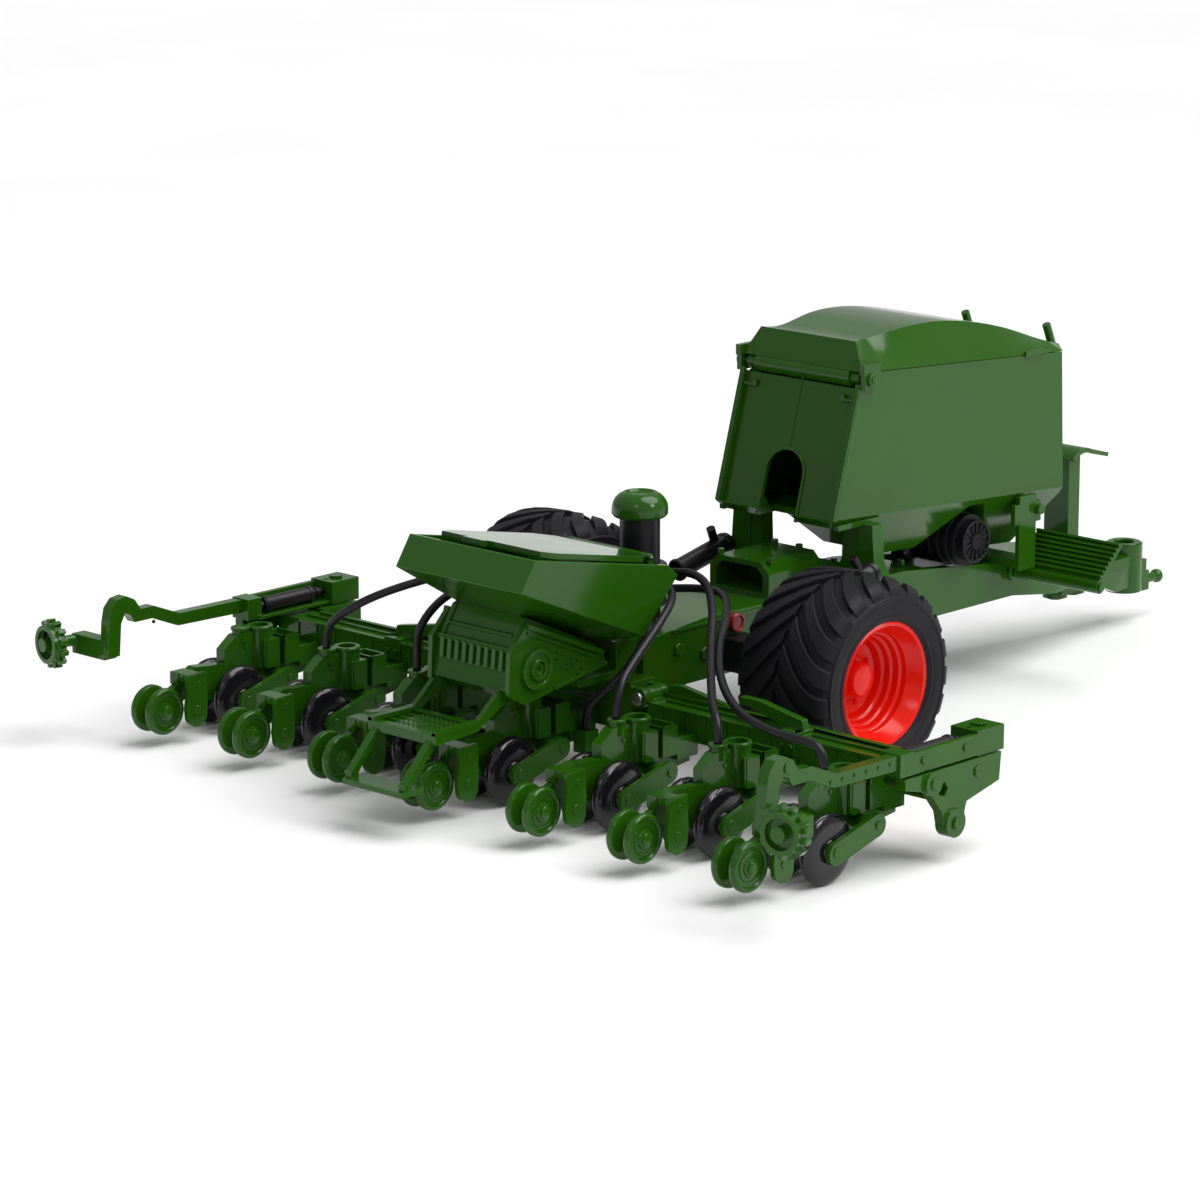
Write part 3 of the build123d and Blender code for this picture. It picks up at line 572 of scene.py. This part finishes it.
# ---- row wheels and row fittings -----------------------------------------------------------
GAUGE_WHEEL = [
    (0, -2.9), (8.6, -2.9), (10.4, -2.5), (11.6, -1.6), (12.2, -0.5), (12.3, 0.2), (12.1, 1.0), (11.5, 1.7),
    (10.4, 2.3), (8.6, 2.7), (6.2, 2.85), (4.4, 2.85), (4.1, 2.6), (3.6, 2.6), (3.3, 2.9), (0, 3.0),
]
PRESS_WHEEL = [
    (0, -1.6), (7.5, -1.65), (8.25, -1.35), (8.65, -0.7), (8.7, 0), (8.65, 0.7), (8.25, 1.35), (7.6, 1.65),
    (7.2, 1.6), (7.0, 1.15), (6.6, 0.9), (5.5, 0.9), (5.3, 1.25), (4.8, 1.25), (4.6, 0.9), (3.5, 0.9),
    (3.2, 1.5), (2.7, 1.7), (2.4, 1.75), (2.3, 2.3), (1.9, 2.6), (1.0, 2.8), (0, 2.8),
]


def wheel_pair(bm, centre, profile, offset, segments, axle_half, axle_radius):
    """Two like wheels on one short axle, all told in millimetres but the centre."""
    for hand in (-1, 1):
        place = Matrix.Translation(centre + Vector((hand * offset * MM, 0, 0))) @ turn_from_z((hand, 0, 0))
        ring(bm, profile, place, segments, close=False)
    reach = Vector((axle_half * MM, 0, 0))
    add_rod(bm, centre - reach, centre + reach, axle_radius * MM)


class PLANTER_OT_row_wheels(bpy.types.Operator):
    """Makes the black gauge wheels and green press wheels of the seven rows"""

    bl_idname = "planter.row_wheels"
    bl_label = "Row wheels"

    def execute(self, context):
        kinds = (
            ("gauge", "gauge_black", (GAUGE_WHEEL, 8, 56, 13.4, 1.5)),
            ("press", "green", (PRESS_WHEEL, 3.85, 48, 5, 1.2)),
        )
        for number in ROWS:
            for kind, slot, form in kinds:
                centre = pivot(f"{kind}_spin_{number}")

                def build(bm):
                    wheel_pair(bm, centre, *form)

                wheels = detail(f"{kind}_pair_{number}", f"{kind}_{number}", slot, build)
                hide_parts(f"{kind}_wheels_{number}")
        return {"FINISHED"}


SOCKET_LIP = [(1.9, -1.2), (3.4, -1.2), (3.5, -0.9), (3.5, -0.1), (3.2, 0.1), (1.9, 0.1)]
CUP_LIP = [(3.3, -1), (4.8, -1), (5.0, -0.7), (5.0, 0), (4.7, 0.4), (3.3, 0.4)]


class PLANTER_OT_row_fittings(bpy.types.Operator):
    """Adds the rims, ribs, rivets and socket rings of the row frames"""

    bl_idname = "planter.row_fittings"
    bl_label = "Row fittings"

    def execute(self, context):
        for number in ROWS:
            gauge = pivot(f"gauge_spin_{number}")
            x = gauge.x / MM
            back = (pivot("gauge_spin_1").y - gauge.y) / MM

            def tray(bm, low, high, top, rise):
                """A thin wall standing round the top of a block."""
                (x0, y0), (x1, y1) = low, high
                for a, b in (((x0, y0), (x1, y0 + 1)), ((x0, y1 - 1), (x1, y1)), ((x0, y0), (x0 + 1, y1)),
                             ((x1 - 1, y0), (x1, y1))):
                    block(bm, (x + a[0], a[1] - back, top - 0.4), (x + b[0], b[1] - back, top + rise))

            def build(bm):
                tray(bm, (-7.1, 50), (-3.9, 56.5), 31, 3.2)
                tray(bm, (-6, 60), (6, 67.5), 29, 2.0)
                for rib in (-6.6, -3.4, 6.2):
                    block(bm, (x + rib - 0.5, 49.1 - back, 21), (x + rib + 0.5, 50.3 - back, 31.4))
                for rib in (-5.4, 5.4):
                    block(bm, (x + rib - 0.5, 67.4 - back, 24.2), (x + rib + 0.5, 77.6 - back, 25.6))
                for hand in (-1, 1):
                    outer = x + hand * 12.1
                    bar(bm, (outer, 56 - back, 17), (outer + hand * 1.7, 56 - back, 17), 1.5)
                    bar(bm, (x + hand * 13.1, 35.1 - back, 12), (x + hand * 13.7, 35.1 - back, 12), 1.9, 24)
                    bar(bm, (x + hand * 1.2, 18 - back, 20.2), (x + hand * 3.0, 18 - back, 20.2), 1.3)
                    for y, z in ((44, 29), (57, 25), (63, 20)):
                        bar(bm, (x + hand * 2, y - back, z), (x + hand * 2.7, y - back, z), 0.8, 12)
                socket, cup = spot(x, 43 - back, 36.5), spot(x + 1, 52 - back, 35.6)
                ring(bm, SOCKET_LIP, Matrix.Translation(socket), 32)
                ring(bm, CUP_LIP, Matrix.Translation(cup), 36)
                # rounded lobe beside the press wheels
                tab = [(8.2, 25.4), (17.2, 25.8), (17.6, 15)]
                turns = (math.pi * k / 10 for k in range(1, 10))
                tab += [(12.6 + 4.9 * math.cos(a), 10.7 - 4.9 * math.sin(a)) for a in turns]
                tab += [(7.4, 13), (8.4, 19)]
                slab(bm, [(y - back, z) for y, z in tab], x + 7.9, 1.9)
                bar(bm, (x + 9.4, 12.6 - back, 12.4), (x + 10.3, 12.6 - back, 12.4), 1.7, 20)
                bar(bm, (x + 9.4, 13.4 - back, 22), (x + 10.2, 13.4 - back, 22), 1.1)

            body = "chassis" if number == 4 else "wing_left" if number < 4 else "wing_right"
            detail(f"row_fittings_{number}", body, "green", build, edge=EDGE)
        return {"FINISHED"}


# ---- wings ---------------------------------------------------------------------------------
class PLANTER_OT_wing_fittings(bpy.types.Operator):
    """Adds flanges, bolts, collars and cross ribs to the wings and their markers"""

    bl_idname = "planter.wing_fittings"
    bl_label = "Wing fittings"

    def execute(self, context):
        for name, hand in HANDS:

            def build(bm):
                for low, high in ((22, 23.1), (31.5, 32.6)):
                    block(bm, (hand * 33, 77.4, low), (hand * 159.5, 78.2, high))
                for x in range(38, 158, 10):
                    if not 91 < x < 103:
                        block(bm, (hand * x, 77.4, 22.4), (hand * (x + 0.9), 78.2, 32.2))
                for x in (95, 99):
                    bar(bm, (hand * x, 83, 33.6), (hand * x, 83, 35.2), 1.3, 6)
                    bar(bm, (hand * x, 77.4, 29), (hand * x, 76.1, 29), 1.2, 6)
                bar(bm, (hand * 162.5, 98, 28.6), (hand * 164.8, 98, 28.6), 2.2, 6)
                bar(bm, (hand * 165.2, 85.6, 13.3), (hand * 166.2, 85.6, 13.3), 2.1)
                bar(bm, (hand * 165.3, 73.7, 29.4), (hand * 166.1, 73.7, 29.4), 2.0)
                block(bm, (hand * 104, 82, 32.5), (hand * 148, 83, 33.6))
                block(bm, (hand * 36, 82, 32.5), (hand * 91, 83, 33.6))

            detail(f"wing_fittings_{name}", f"wing_{name}", "green", build, edge=EDGE)

            def build_collars(bm):
                for y in (67.4, 89.6):
                    bar(bm, (hand * 156.8, y, 38.3), (hand * 156.8, y + 2, 38.3), 3.3)
                bar(bm, (hand * 156.8, 93.8, 38.3), (hand * 156.8, 95.2, 38.3), 2.1)

            detail(f"marker_collars_{name}", f"marker_{name}", "black", build_collars, edge=SMALL_EDGE)

            def build_marker(bm):
                for y in (18, 24, 30, 36, 42, 48, 54):
                    bar(bm, (hand * 162.3, y, 39.6), (hand * 162.9, y, 39.6), 0.7, 12)
                bar(bm, (hand * 162.2, 2.2, 48.8), (hand * 163, 2.2, 48.8), 1.6)
                bar(bm, (hand * 163.2, 92, 38), (hand * 164.1, 92, 38), 1.4, 6)
                bar(bm, (hand * 163.2, 70, 38), (hand * 164.1, 70, 38), 1.4, 6)

            detail(f"marker_fittings_{name}", f"marker_{name}", "green", build_marker, edge=SMALL_EDGE)
        return {"FINISHED"}


# ---- tank ----------------------------------------------------------------------------------
# foot and top of the sloping rear panel: forward, up
PANEL_LOW, PANEL_HIGH = (182.0, 80.0), (196.4, 131.0)
# raised edge of the arch, on the panel: height of its round part, its foot, its two radii
ARCH_RISE, ARCH_FOOT, ARCH_OUTER, ARCH_INNER, ARCH_STEPS = 13.9, -3, 10.0, 8.9, 24
FAN_Y, FAN_Z, FAN_FINS = 266.5, 58.4, 14


def panel_place():
    """Matrix of the tank's sloping rear panel: across, up the slope, out to the rear."""
    up = (spot(0, *PANEL_HIGH) - spot(0, *PANEL_LOW)).normalized()
    out = Vector((1, 0, 0)).cross(up)
    place = Matrix((Vector((1, 0, 0)), up, out)).transposed().to_4x4()
    place.translation = spot(0, *PANEL_LOW)
    return place


class PLANTER_OT_tank_fittings(bpy.types.Operator):
    """Adds the tank's seam, arch edge, posts, hooks, ear bosses and fan fins"""

    bl_idname = "planter.tank_fittings"
    bl_label = "Tank fittings"

    def execute(self, context):
        panel = panel_place()

        def build(bm):
            add_block(bm, (-0.3 * MM, 23.5 * MM, -0.3 * MM), (0.3 * MM, 50 * MM, 0.28 * MM), panel)
            angles = [math.pi * k / ARCH_STEPS for k in range(ARCH_STEPS + 1)]
            outer, inner = (
                [(radius * math.cos(a), ARCH_RISE + radius * math.sin(a)) for a in angles]
                for radius in (ARCH_OUTER, ARCH_INNER)
            )
            outline = [(ARCH_OUTER, ARCH_FOOT), *outer, (-ARCH_OUTER, ARCH_FOOT)]
            outline += [(-ARCH_INNER, ARCH_FOOT), *inner[::-1], (ARCH_INNER, ARCH_FOOT)]
            add_prism(bm, in_mm(outline), panel @ Matrix.Translation((0, 0, -0.6 * MM)), 1.1 * MM)
            for hand in (-1, 1):
                bar(bm, (hand * 28, 181.2, 80), (hand * 28, 194.1, 125.6), 1.15)
                bar(bm, (hand * 26.8, 193.4, 123), (hand * 21.5, 193.4, 123), 0.8, 14)
                bar(bm, (hand * 21.5, 193.4, 122.5), (hand * 21.5, 193.4, 125), 0.8, 14)
                block(bm, (hand * 27, 182.5, 76.4), (hand * 29.2, 206, 78.4))
                bar(bm, (hand * 12, 164.5, 65.2), (hand * 12, 164.5, 66.8), 1.2, 12)
                bar(bm, (hand * 6, 187.5, 65.2), (hand * 6, 187.5, 67.4), 1.4, 12)
                bar(bm, (hand * 26, 205, 57.2), (hand * 26, 205, 58.8), 1.6, 6)
                block(bm, (hand * 25.4, 195.6, 58), (hand * 26.4, 196.2, 76))
                bar(bm, (hand * 20, 312.8, 121.2), (hand * 20, 319.4, 125.4), 1.7)
                bar(bm, (hand * 20, 319.4, 124.6), (hand * 20, 314.8, 135), 1.7)

        detail("tank_fittings", "chassis", "green", build, edge=EDGE)

        def build_lid(bm):
            for hand in (-1, 1):
                bar(bm, (hand * 31.2, 197.5, 131), (hand * 32.7, 197.5, 131), 2.5, 28)
                bar(bm, (hand * 32.5, 197.5, 131), (hand * 33.1, 197.5, 131), 1.3, 20)
            bar(bm, (-23, 197.5, 131), (23, 197.5, 131), 3.6, 28)

        detail("lid_ear_bosses", "tank_cover", "green", build_lid, edge=EDGE)

        def build_fan(bm):
            for k in range(7):
                collar = across(-6 + k * 4.1, FAN_Y, FAN_Z)
                ring(bm, [(9.6, 0), (10.5, 0.1), (10.5, 1.2), (9.6, 1.3)], collar, 40)
            for k in range(FAN_FINS):
                fin = across(25.8, FAN_Y, FAN_Z) @ Matrix.Rotation(math.tau * k / FAN_FINS, 4, "Z")
                add_block(bm, (3.2 * MM, -0.35 * MM, 0), (7.7 * MM, 0.35 * MM, 0.9 * MM), fin)
            face = [(7.3, 0), (8.2, 0), (8.2, 1), (7.9, 1.2), (7.3, 1.0)]
            ring(bm, face, across(25.6, FAN_Y, FAN_Z), 40)

        detail("fan_fins", "chassis", "black", build_fan, edge=FINE_EDGE)
        return {"FINISHED"}


# ---- chassis fittings ----------------------------------------------------------------------
class PLANTER_OT_chassis_fittings(bpy.types.Operator):
    """Adds bolts, collars, hitch lip, red cap and hose collars to the chassis"""

    bl_idname = "planter.chassis_fittings"
    bl_label = "Chassis fittings"

    def execute(self, context):
        def build_black(bm):
            for hand in (-1, 1):
                start, end = Vector((hand * 36, 166, 54)), Vector((hand * 36, 194.6, 60.3))
                for run in (0.0, 0.9):
                    a, b = start.lerp(end, run), start.lerp(end, run + 0.07)
                    bar(bm, tuple(a), tuple(b), 4.4, 28)
                bar(bm, (hand * 45.8, 137, 38), (hand * 46.4, 137, 38), 8.6, 32)
            for length, route in HOSES.values():
                start, ahead = Vector(route[0]), (Vector(route[1]) - Vector(route[0])).normalized()
                bar(bm, tuple(start - ahead * 1.6), tuple(start + ahead * 1.8), 2.1, 18)
            for z in (59, 71.6):
                band = [(9.2, 0), (9.9, 0.1), (9.9, 0.9), (9.2, 1)]
                ring(bm, band, Matrix.Translation(spot(0, 107.3, z)), 40)

        detail("chassis_collars", "chassis", "black", build_black, edge=SMALL_EDGE)

        def build_green(bm):
            lip = [(4.2, 0), (6.6, 0), (6.9, 0.3), (6.6, 0.7), (4.6, 0.7), (4.2, 0.4)]
            ring(bm, lip, Matrix.Translation(spot(0, 394.6, 32.5)), 40)
            for y in (350, 361):
                bar(bm, (0, y, 17.2), (0, y, 18.4), 3.4)
            for hand in (-1, 1):
                for y in (210, 226, 242):
                    bar(bm, (hand * 10, y, 50.4), (hand * 10, y, 53), 1.3, 12)
                block(bm, (hand * 17.6, 105, 50.2), (hand * 18.6, 190, 51.4))
                bar(bm, (hand * 18.0, 122, 40), (hand * 19.2, 122, 40), 2.4, 6)
                bar(bm, (hand * 18.0, 108, 44), (hand * 19.2, 108, 44), 2.4, 6)

        detail("chassis_bolts", "chassis", "green", build_green, edge=SMALL_EDGE)

        def build_cap(bm):
            profile = [(0, 0), (3.4, 0), (3.6, 0.4), (3.6, 2.2), (3.3, 2.5), (2.7, 2.5), (2.4, 1.9), (0, 1.9)]
            ring(bm, profile, across(18, 138, 48.6), 40, close=False)

        cap = detail("red_pin_cap", "chassis", "red", build_cap)
        # the cap takes the darkened copy of the rims' red, painted shade where it sits back
        cap.data.materials.clear()
        cap.data.materials.append(MATERIALS["dark_red"])
        return {"FINISHED"}


# ---- hopper and meter ----------------------------------------------------------------------
CHEEK = 20.0  # from the machine's middle to the meter's cheek
CHEEK_RING = [(5.4, 0), (7.4, 0), (7.4, 1.6), (7.1, 2.0), (5.7, 2.0), (5.4, 1.6)]
BEARING_RING = [(2.7, 0), (4.0, 0), (4.0, 2.1), (3.7, 2.4), (2.9, 2.4), (2.7, 2.1)]


class PLANTER_OT_meter_fittings(bpy.types.Operator):
    """Adds ribs, panel frame, cheek rings, studs and step studs to the seed meter"""

    bl_idname = "planter.meter_fittings"
    bl_label = "Meter fittings"

    def execute(self, context):
        def build(bm):
            for rib in range(9):
                x = -14.4 + rib * 3.6
                slab(bm, [(20.9, 51.5), (21.6, 58.6), (23.9, 58.6), (22.6, 51.5)], x - 0.9, 1.8)
            slab(bm, [(21.9, 58.0), (22.9, 59.6), (24.6, 59.6), (24, 58.0)], -17.8, 35.6)
            for x in (-17.6, 15.6):
                slab(bm, [(22.9, 58.6), (30.0, 68.8), (31.4, 68.8), (24.4, 58.6)], x, 2)
            slab(bm, [(25.4, 62.8), (25.9, 63.6), (27.2, 63.6), (26.8, 62.8)], -15.8, 31.6)
            for hand in (-1, 1):
                face = CHEEK
                hub = across(hand * face, 33, 51, hand)
                ring(bm, CHEEK_RING, hub, 44)
                ring(bm, BEARING_RING, hub, 32)
                low = face if hand > 0 else -face - 1
                slab(bm, [(29.2, 67.6), (66.8, 51.6), (66.1, 50.0), (28.6, 66.0)], low, 1.0)
                slab(bm, [(28.9, 64.9), (63, 50.4), (62.6, 49.5), (28.5, 64.0)], low, 0.6)
                for column, row in ((c, r) for c in range(7) for r in range(3)):
                    if (column + row) % 3:
                        y, z = 41.4 + column * 2.5, 56.3 - column * 1.1 - row * 2.4
                        bar(bm, (hand * (face - 0.2), y, z), (hand * (face + 0.6), y, z), 0.75, 10)
                slab(bm, [(42, 43.0), (67.8, 47.2), (68, 46.2), (42, 41.8)], low, 1.0)

        detail("meter_fittings", "chassis", "green", build, edge=SMALL_EDGE)

        def build_step(bm):
            for column in range(8):
                for row in range(8):
                    stud = spot(-8.05 + column * 2.3, -10.4 + row * 2.3, 34.35)
                    ring(bm, [(0.75, 0), (0.3, 0.6), (0, 0.65)], Matrix.Translation(stud), 4, close=False)
            for hand in (-1, 1):
                block(bm, (hand * 13.6, -12.6, 34.8), (hand * 16.8, 8, 36.4))
                for z in (19, 23, 27):
                    y = -24.8 + (z - 19) * 1.35
                    block(bm, (hand * 11.4, y - 1, z), (hand * 14.8, y + 0.4, z + 0.9))

        detail("step_studs", "chassis", "green", build_step)
        return {"FINISHED"}


# ---- seed hoses ----------------------------------------------------------------------------
# points in millimetres, from the distributor's head to the row's socket, with the hose's length
HOSES = {
    2: (127.0, [(-9.5, 107.3, 68), (-24, 106, 70.5), (-41, 92, 71), (-55, 68, 67.5), (-72, 48, 60.5),
                (-87, 41, 51), (-96, 43, 43.5), (-96, 43, 36.55)]),
    3: (101.0, [(-9, 104.2, 63), (-22, 102, 65.5), (-34, 90, 68), (-39.5, 70, 68), (-42, 50, 64),
                (-46, 41.5, 54), (-49, 43, 45), (-49, 43, 36.55)]),
    4: (74.5, [(5, 99.25, 64), (12, 95, 61), (23, 89, 58), (28.5, 77.5, 52), (25, 71, 42), (15.5, 69.4, 34),
               (9, 69.6, 28), (9, 69.6, 20.05)]),
    5: (90.5, [(8.2, 102.5, 69), (20, 99, 70.5), (33, 90, 68.5), (39.5, 74, 62), (43.5, 59, 54.5),
               (49, 43, 47), (49, 43, 36.55)]),
    6: (123.5, [(9.5, 107.3, 70), (19, 109, 73), (31, 108.5, 71.5), (44, 98, 65.5), (58, 81, 57),
                (74, 63.5, 50.5), (88, 49, 46.5), (95.9, 43, 43.5), (95.9, 43, 36.55)]),
    7: (171.0, [(8.6, 111.5, 64), (20, 117, 65.5), (34, 116, 65.5), (47, 102, 62), (58, 85, 56.5),
                (76, 66, 50), (98, 50.5, 46), (120, 43.5, 44.5), (135, 42.8, 45), (142.8, 43, 43.2),
                (142.8, 43, 36.55)]),
}


def hose_line(name, points):
    """The hose's route as one smooth NURBS curve through the frame."""
    curve = bpy.data.curves.new(name, "CURVE")
    curve.dimensions = "3D"
    spline = curve.splines.new("NURBS")
    spline.points.add(len(points) - 1)
    for control, place in zip(spline.points, points):
        control.co = (*place, 1)
    spline.order_u = 3
    spline.use_endpoint_u = True
    spline.resolution_u = 16
    return curve


def centreline(curve):
    """Points read along the route's own spline."""
    holder = bpy.data.objects.new("route", curve)
    bpy.context.scene.collection.objects.link(holder)
    bpy.context.view_layer.update()
    mesh = bpy.data.meshes.new_from_object(holder)
    line = [v.co.copy() for v in mesh.vertices]
    bpy.data.objects.remove(holder)
    bpy.data.meshes.remove(mesh)
    return line


def tube_mesh(name, line, radius, sides=16):
    """A round tube along a line of points."""

    def build(bm):
        up = Vector((0, 0, 1))
        rings = []
        for k, point in enumerate(line):
            ahead = line[min(k + 1, len(line) - 1)] - line[max(k - 1, 0)]
            ahead.normalize()
            aside = up.cross(ahead) if abs(up.dot(ahead)) < 0.98 else rings_across[-1]
            aside = (aside - ahead * aside.dot(ahead)).normalized()
            if rings_across and aside.dot(rings_across[-1]) < 0:
                aside.negate()
            rings_across.append(aside)
            other = ahead.cross(aside)
            rings.append([
                bm.verts.new(point + (aside * math.cos(a) + other * math.sin(a)) * radius)
                for a in (math.tau * s / sides for s in range(sides))
            ])
        for a, b in zip(rings, rings[1:]):
            for s in range(sides):
                bm.faces.new((a[s], a[(s + 1) % sides], b[(s + 1) % sides], b[s]))
        bm.faces.new(rings[0][::-1])
        bm.faces.new(rings[-1])

    rings_across = [Vector((1, 0, 0))]
    return mesh_of(name, build)


class PLANTER_OT_hoses(bpy.types.Operator):
    """Hangs the six seed hoses from the distributor to their rows"""

    bl_idname = "planter.hoses"
    bl_label = "Seed hoses"

    def execute(self, context):
        diameter = context.scene.planter_hoses.diameter
        for number, (length, route) in HOSES.items():
            points = [spot(*p) for p in route]
            line = centreline(hose_line(f"hose_route_{number}", points))
            mesh = tube_mesh(f"seed_hose_{number}", line, diameter / 2)
            mesh.materials.append(MATERIALS["hose"])
            mesh.shade_smooth()
            hose = bpy.data.objects.new(f"seed_hose_{number}", mesh)
            context.scene.collection.objects.link(hose)
            if number == 4:
                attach(hose, "chassis")
            else:
                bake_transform(hose)
            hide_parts(f"hose_{number}")
        return {"FINISHED"}


# ---- stage ---------------------------------------------------------------------------------
class PLANTER_OT_stage(bpy.types.Operator):
    """Sets the pale floor, the soft studio light and the camera"""

    bl_idname = "planter.stage"
    bl_label = "Stage"

    def execute(self, context):
        look = context.scene.planter_stage
        target = spot(-12.76, 100, 58.26)
        back = Vector((
            math.sin(look.azimuth) * math.cos(look.elevation),
            -math.cos(look.azimuth) * math.cos(look.elevation),
            math.sin(look.elevation),
        ))
        lens = bpy.data.cameras.new("camera")
        lens.lens, lens.sensor_width = look.lens, 36
        lens.clip_start, lens.clip_end = 0.05, 40
        camera = bpy.data.objects.new("camera", lens)
        camera.location = target + back * look.distance
        camera.rotation_euler = back.to_track_quat("Z", "Y").to_euler()
        context.scene.collection.objects.link(camera)
        bpy.context.scene.camera = camera

        def build(bm):
            for x, y in ((-6, -6), (6, -6), (6, 6), (-6, 6)):
                bm.verts.new((x, y, -0.0001))
            bm.faces.new(bm.verts)

        floor = bpy.data.objects.new("floor", mesh_of("floor", build))
        material, tree, shader = new_material("pale_floor")
        pale, paler = (0.86, 0.86, 0.86), (0.90, 0.90, 0.90)
        tinted(tree, noise_of(tree, 3, 2), pale, paler, shader.inputs["Base Color"])
        shader.inputs["Roughness"].default_value = 0.9
        floor.data.materials.append(material)
        context.scene.collection.objects.link(floor)

        world = bpy.data.worlds.new("studio")
        context.scene.world = world
        world.use_nodes = True
        sky = world.node_tree.nodes["Background"]
        sky.inputs["Color"].default_value = (1, 1, 1, 1)
        sky.inputs["Strength"].default_value = look.sky
        context.scene.view_settings.view_transform = "Standard"
        soft_lights = (
            ("overhead", "SUN", (0.35, 0.3, 1.0), look.sun),
            ("key_light", "AREA", (1.1, 0.2, 0.8), look.key),
            ("fill_light", "AREA", (0.5, -1.1, 1.0), look.key * 0.3),
        )
        for name, kind, place, power in soft_lights:
            lamp = bpy.data.lights.new(name, kind)
            lamp.energy = power
            if kind == "SUN":
                lamp.angle = math.radians(50)
            else:
                lamp.size = 0.35
            light = bpy.data.objects.new(name, lamp)
            light.location = place
            light.rotation_euler = (Vector(place) - spot(0, 120, 50)).to_track_quat("Z", "Y").to_euler()
            context.scene.collection.objects.link(light)
        return {"FINISHED"}


OPERATORS = (
    PLANTER_OT_stage,
    PLANTER_OT_mouldings,
    PLANTER_OT_road_wheels,
    PLANTER_OT_row_wheels,
    PLANTER_OT_row_fittings,
    PLANTER_OT_wing_fittings,
    PLANTER_OT_tank_fittings,
    PLANTER_OT_chassis_fittings,
    PLANTER_OT_meter_fittings,
    PLANTER_OT_hoses,
)
GROUPS = {
    "planter_finish": PlanterFinish,
    "planter_tyres": PlanterTyres,
    "planter_hoses": PlanterHoses,
    "planter_stage": PlanterStage,
}


class PLANTER_PT_panel(bpy.types.Panel):
    """Lists the planter's settings and operators"""

    bl_idname = "PLANTER_PT_panel"
    bl_label = "Corn planter"
    bl_space_type = "VIEW_3D"
    bl_region_type = "UI"
    bl_category = "Planter"

    def draw(self, context):
        for name, group in GROUPS.items():
            box = self.layout.box()
            for setting in group.__annotations__:
                box.prop(getattr(context.scene, name), setting)
        for operator in OPERATORS:
            self.layout.operator(operator.bl_idname)


def register():
    for cls in (*GROUPS.values(), *OPERATORS, PLANTER_PT_panel):
        bpy.utils.register_class(cls)
    for name, group in GROUPS.items():
        setattr(bpy.types.Scene, name, PointerProperty(type=group))


def unregister():
    for name in GROUPS:
        delattr(bpy.types.Scene, name)
    for cls in reversed((*GROUPS.values(), *OPERATORS, PLANTER_PT_panel)):
        bpy.utils.unregister_class(cls)


def main():
    register()
    make_materials()
    for operator in OPERATORS:
        group, name = operator.bl_idname.split(".")
        getattr(getattr(bpy.ops, group), name)()
    bpy.context.view_layer.update()


if __name__ == "__main__":
    main()
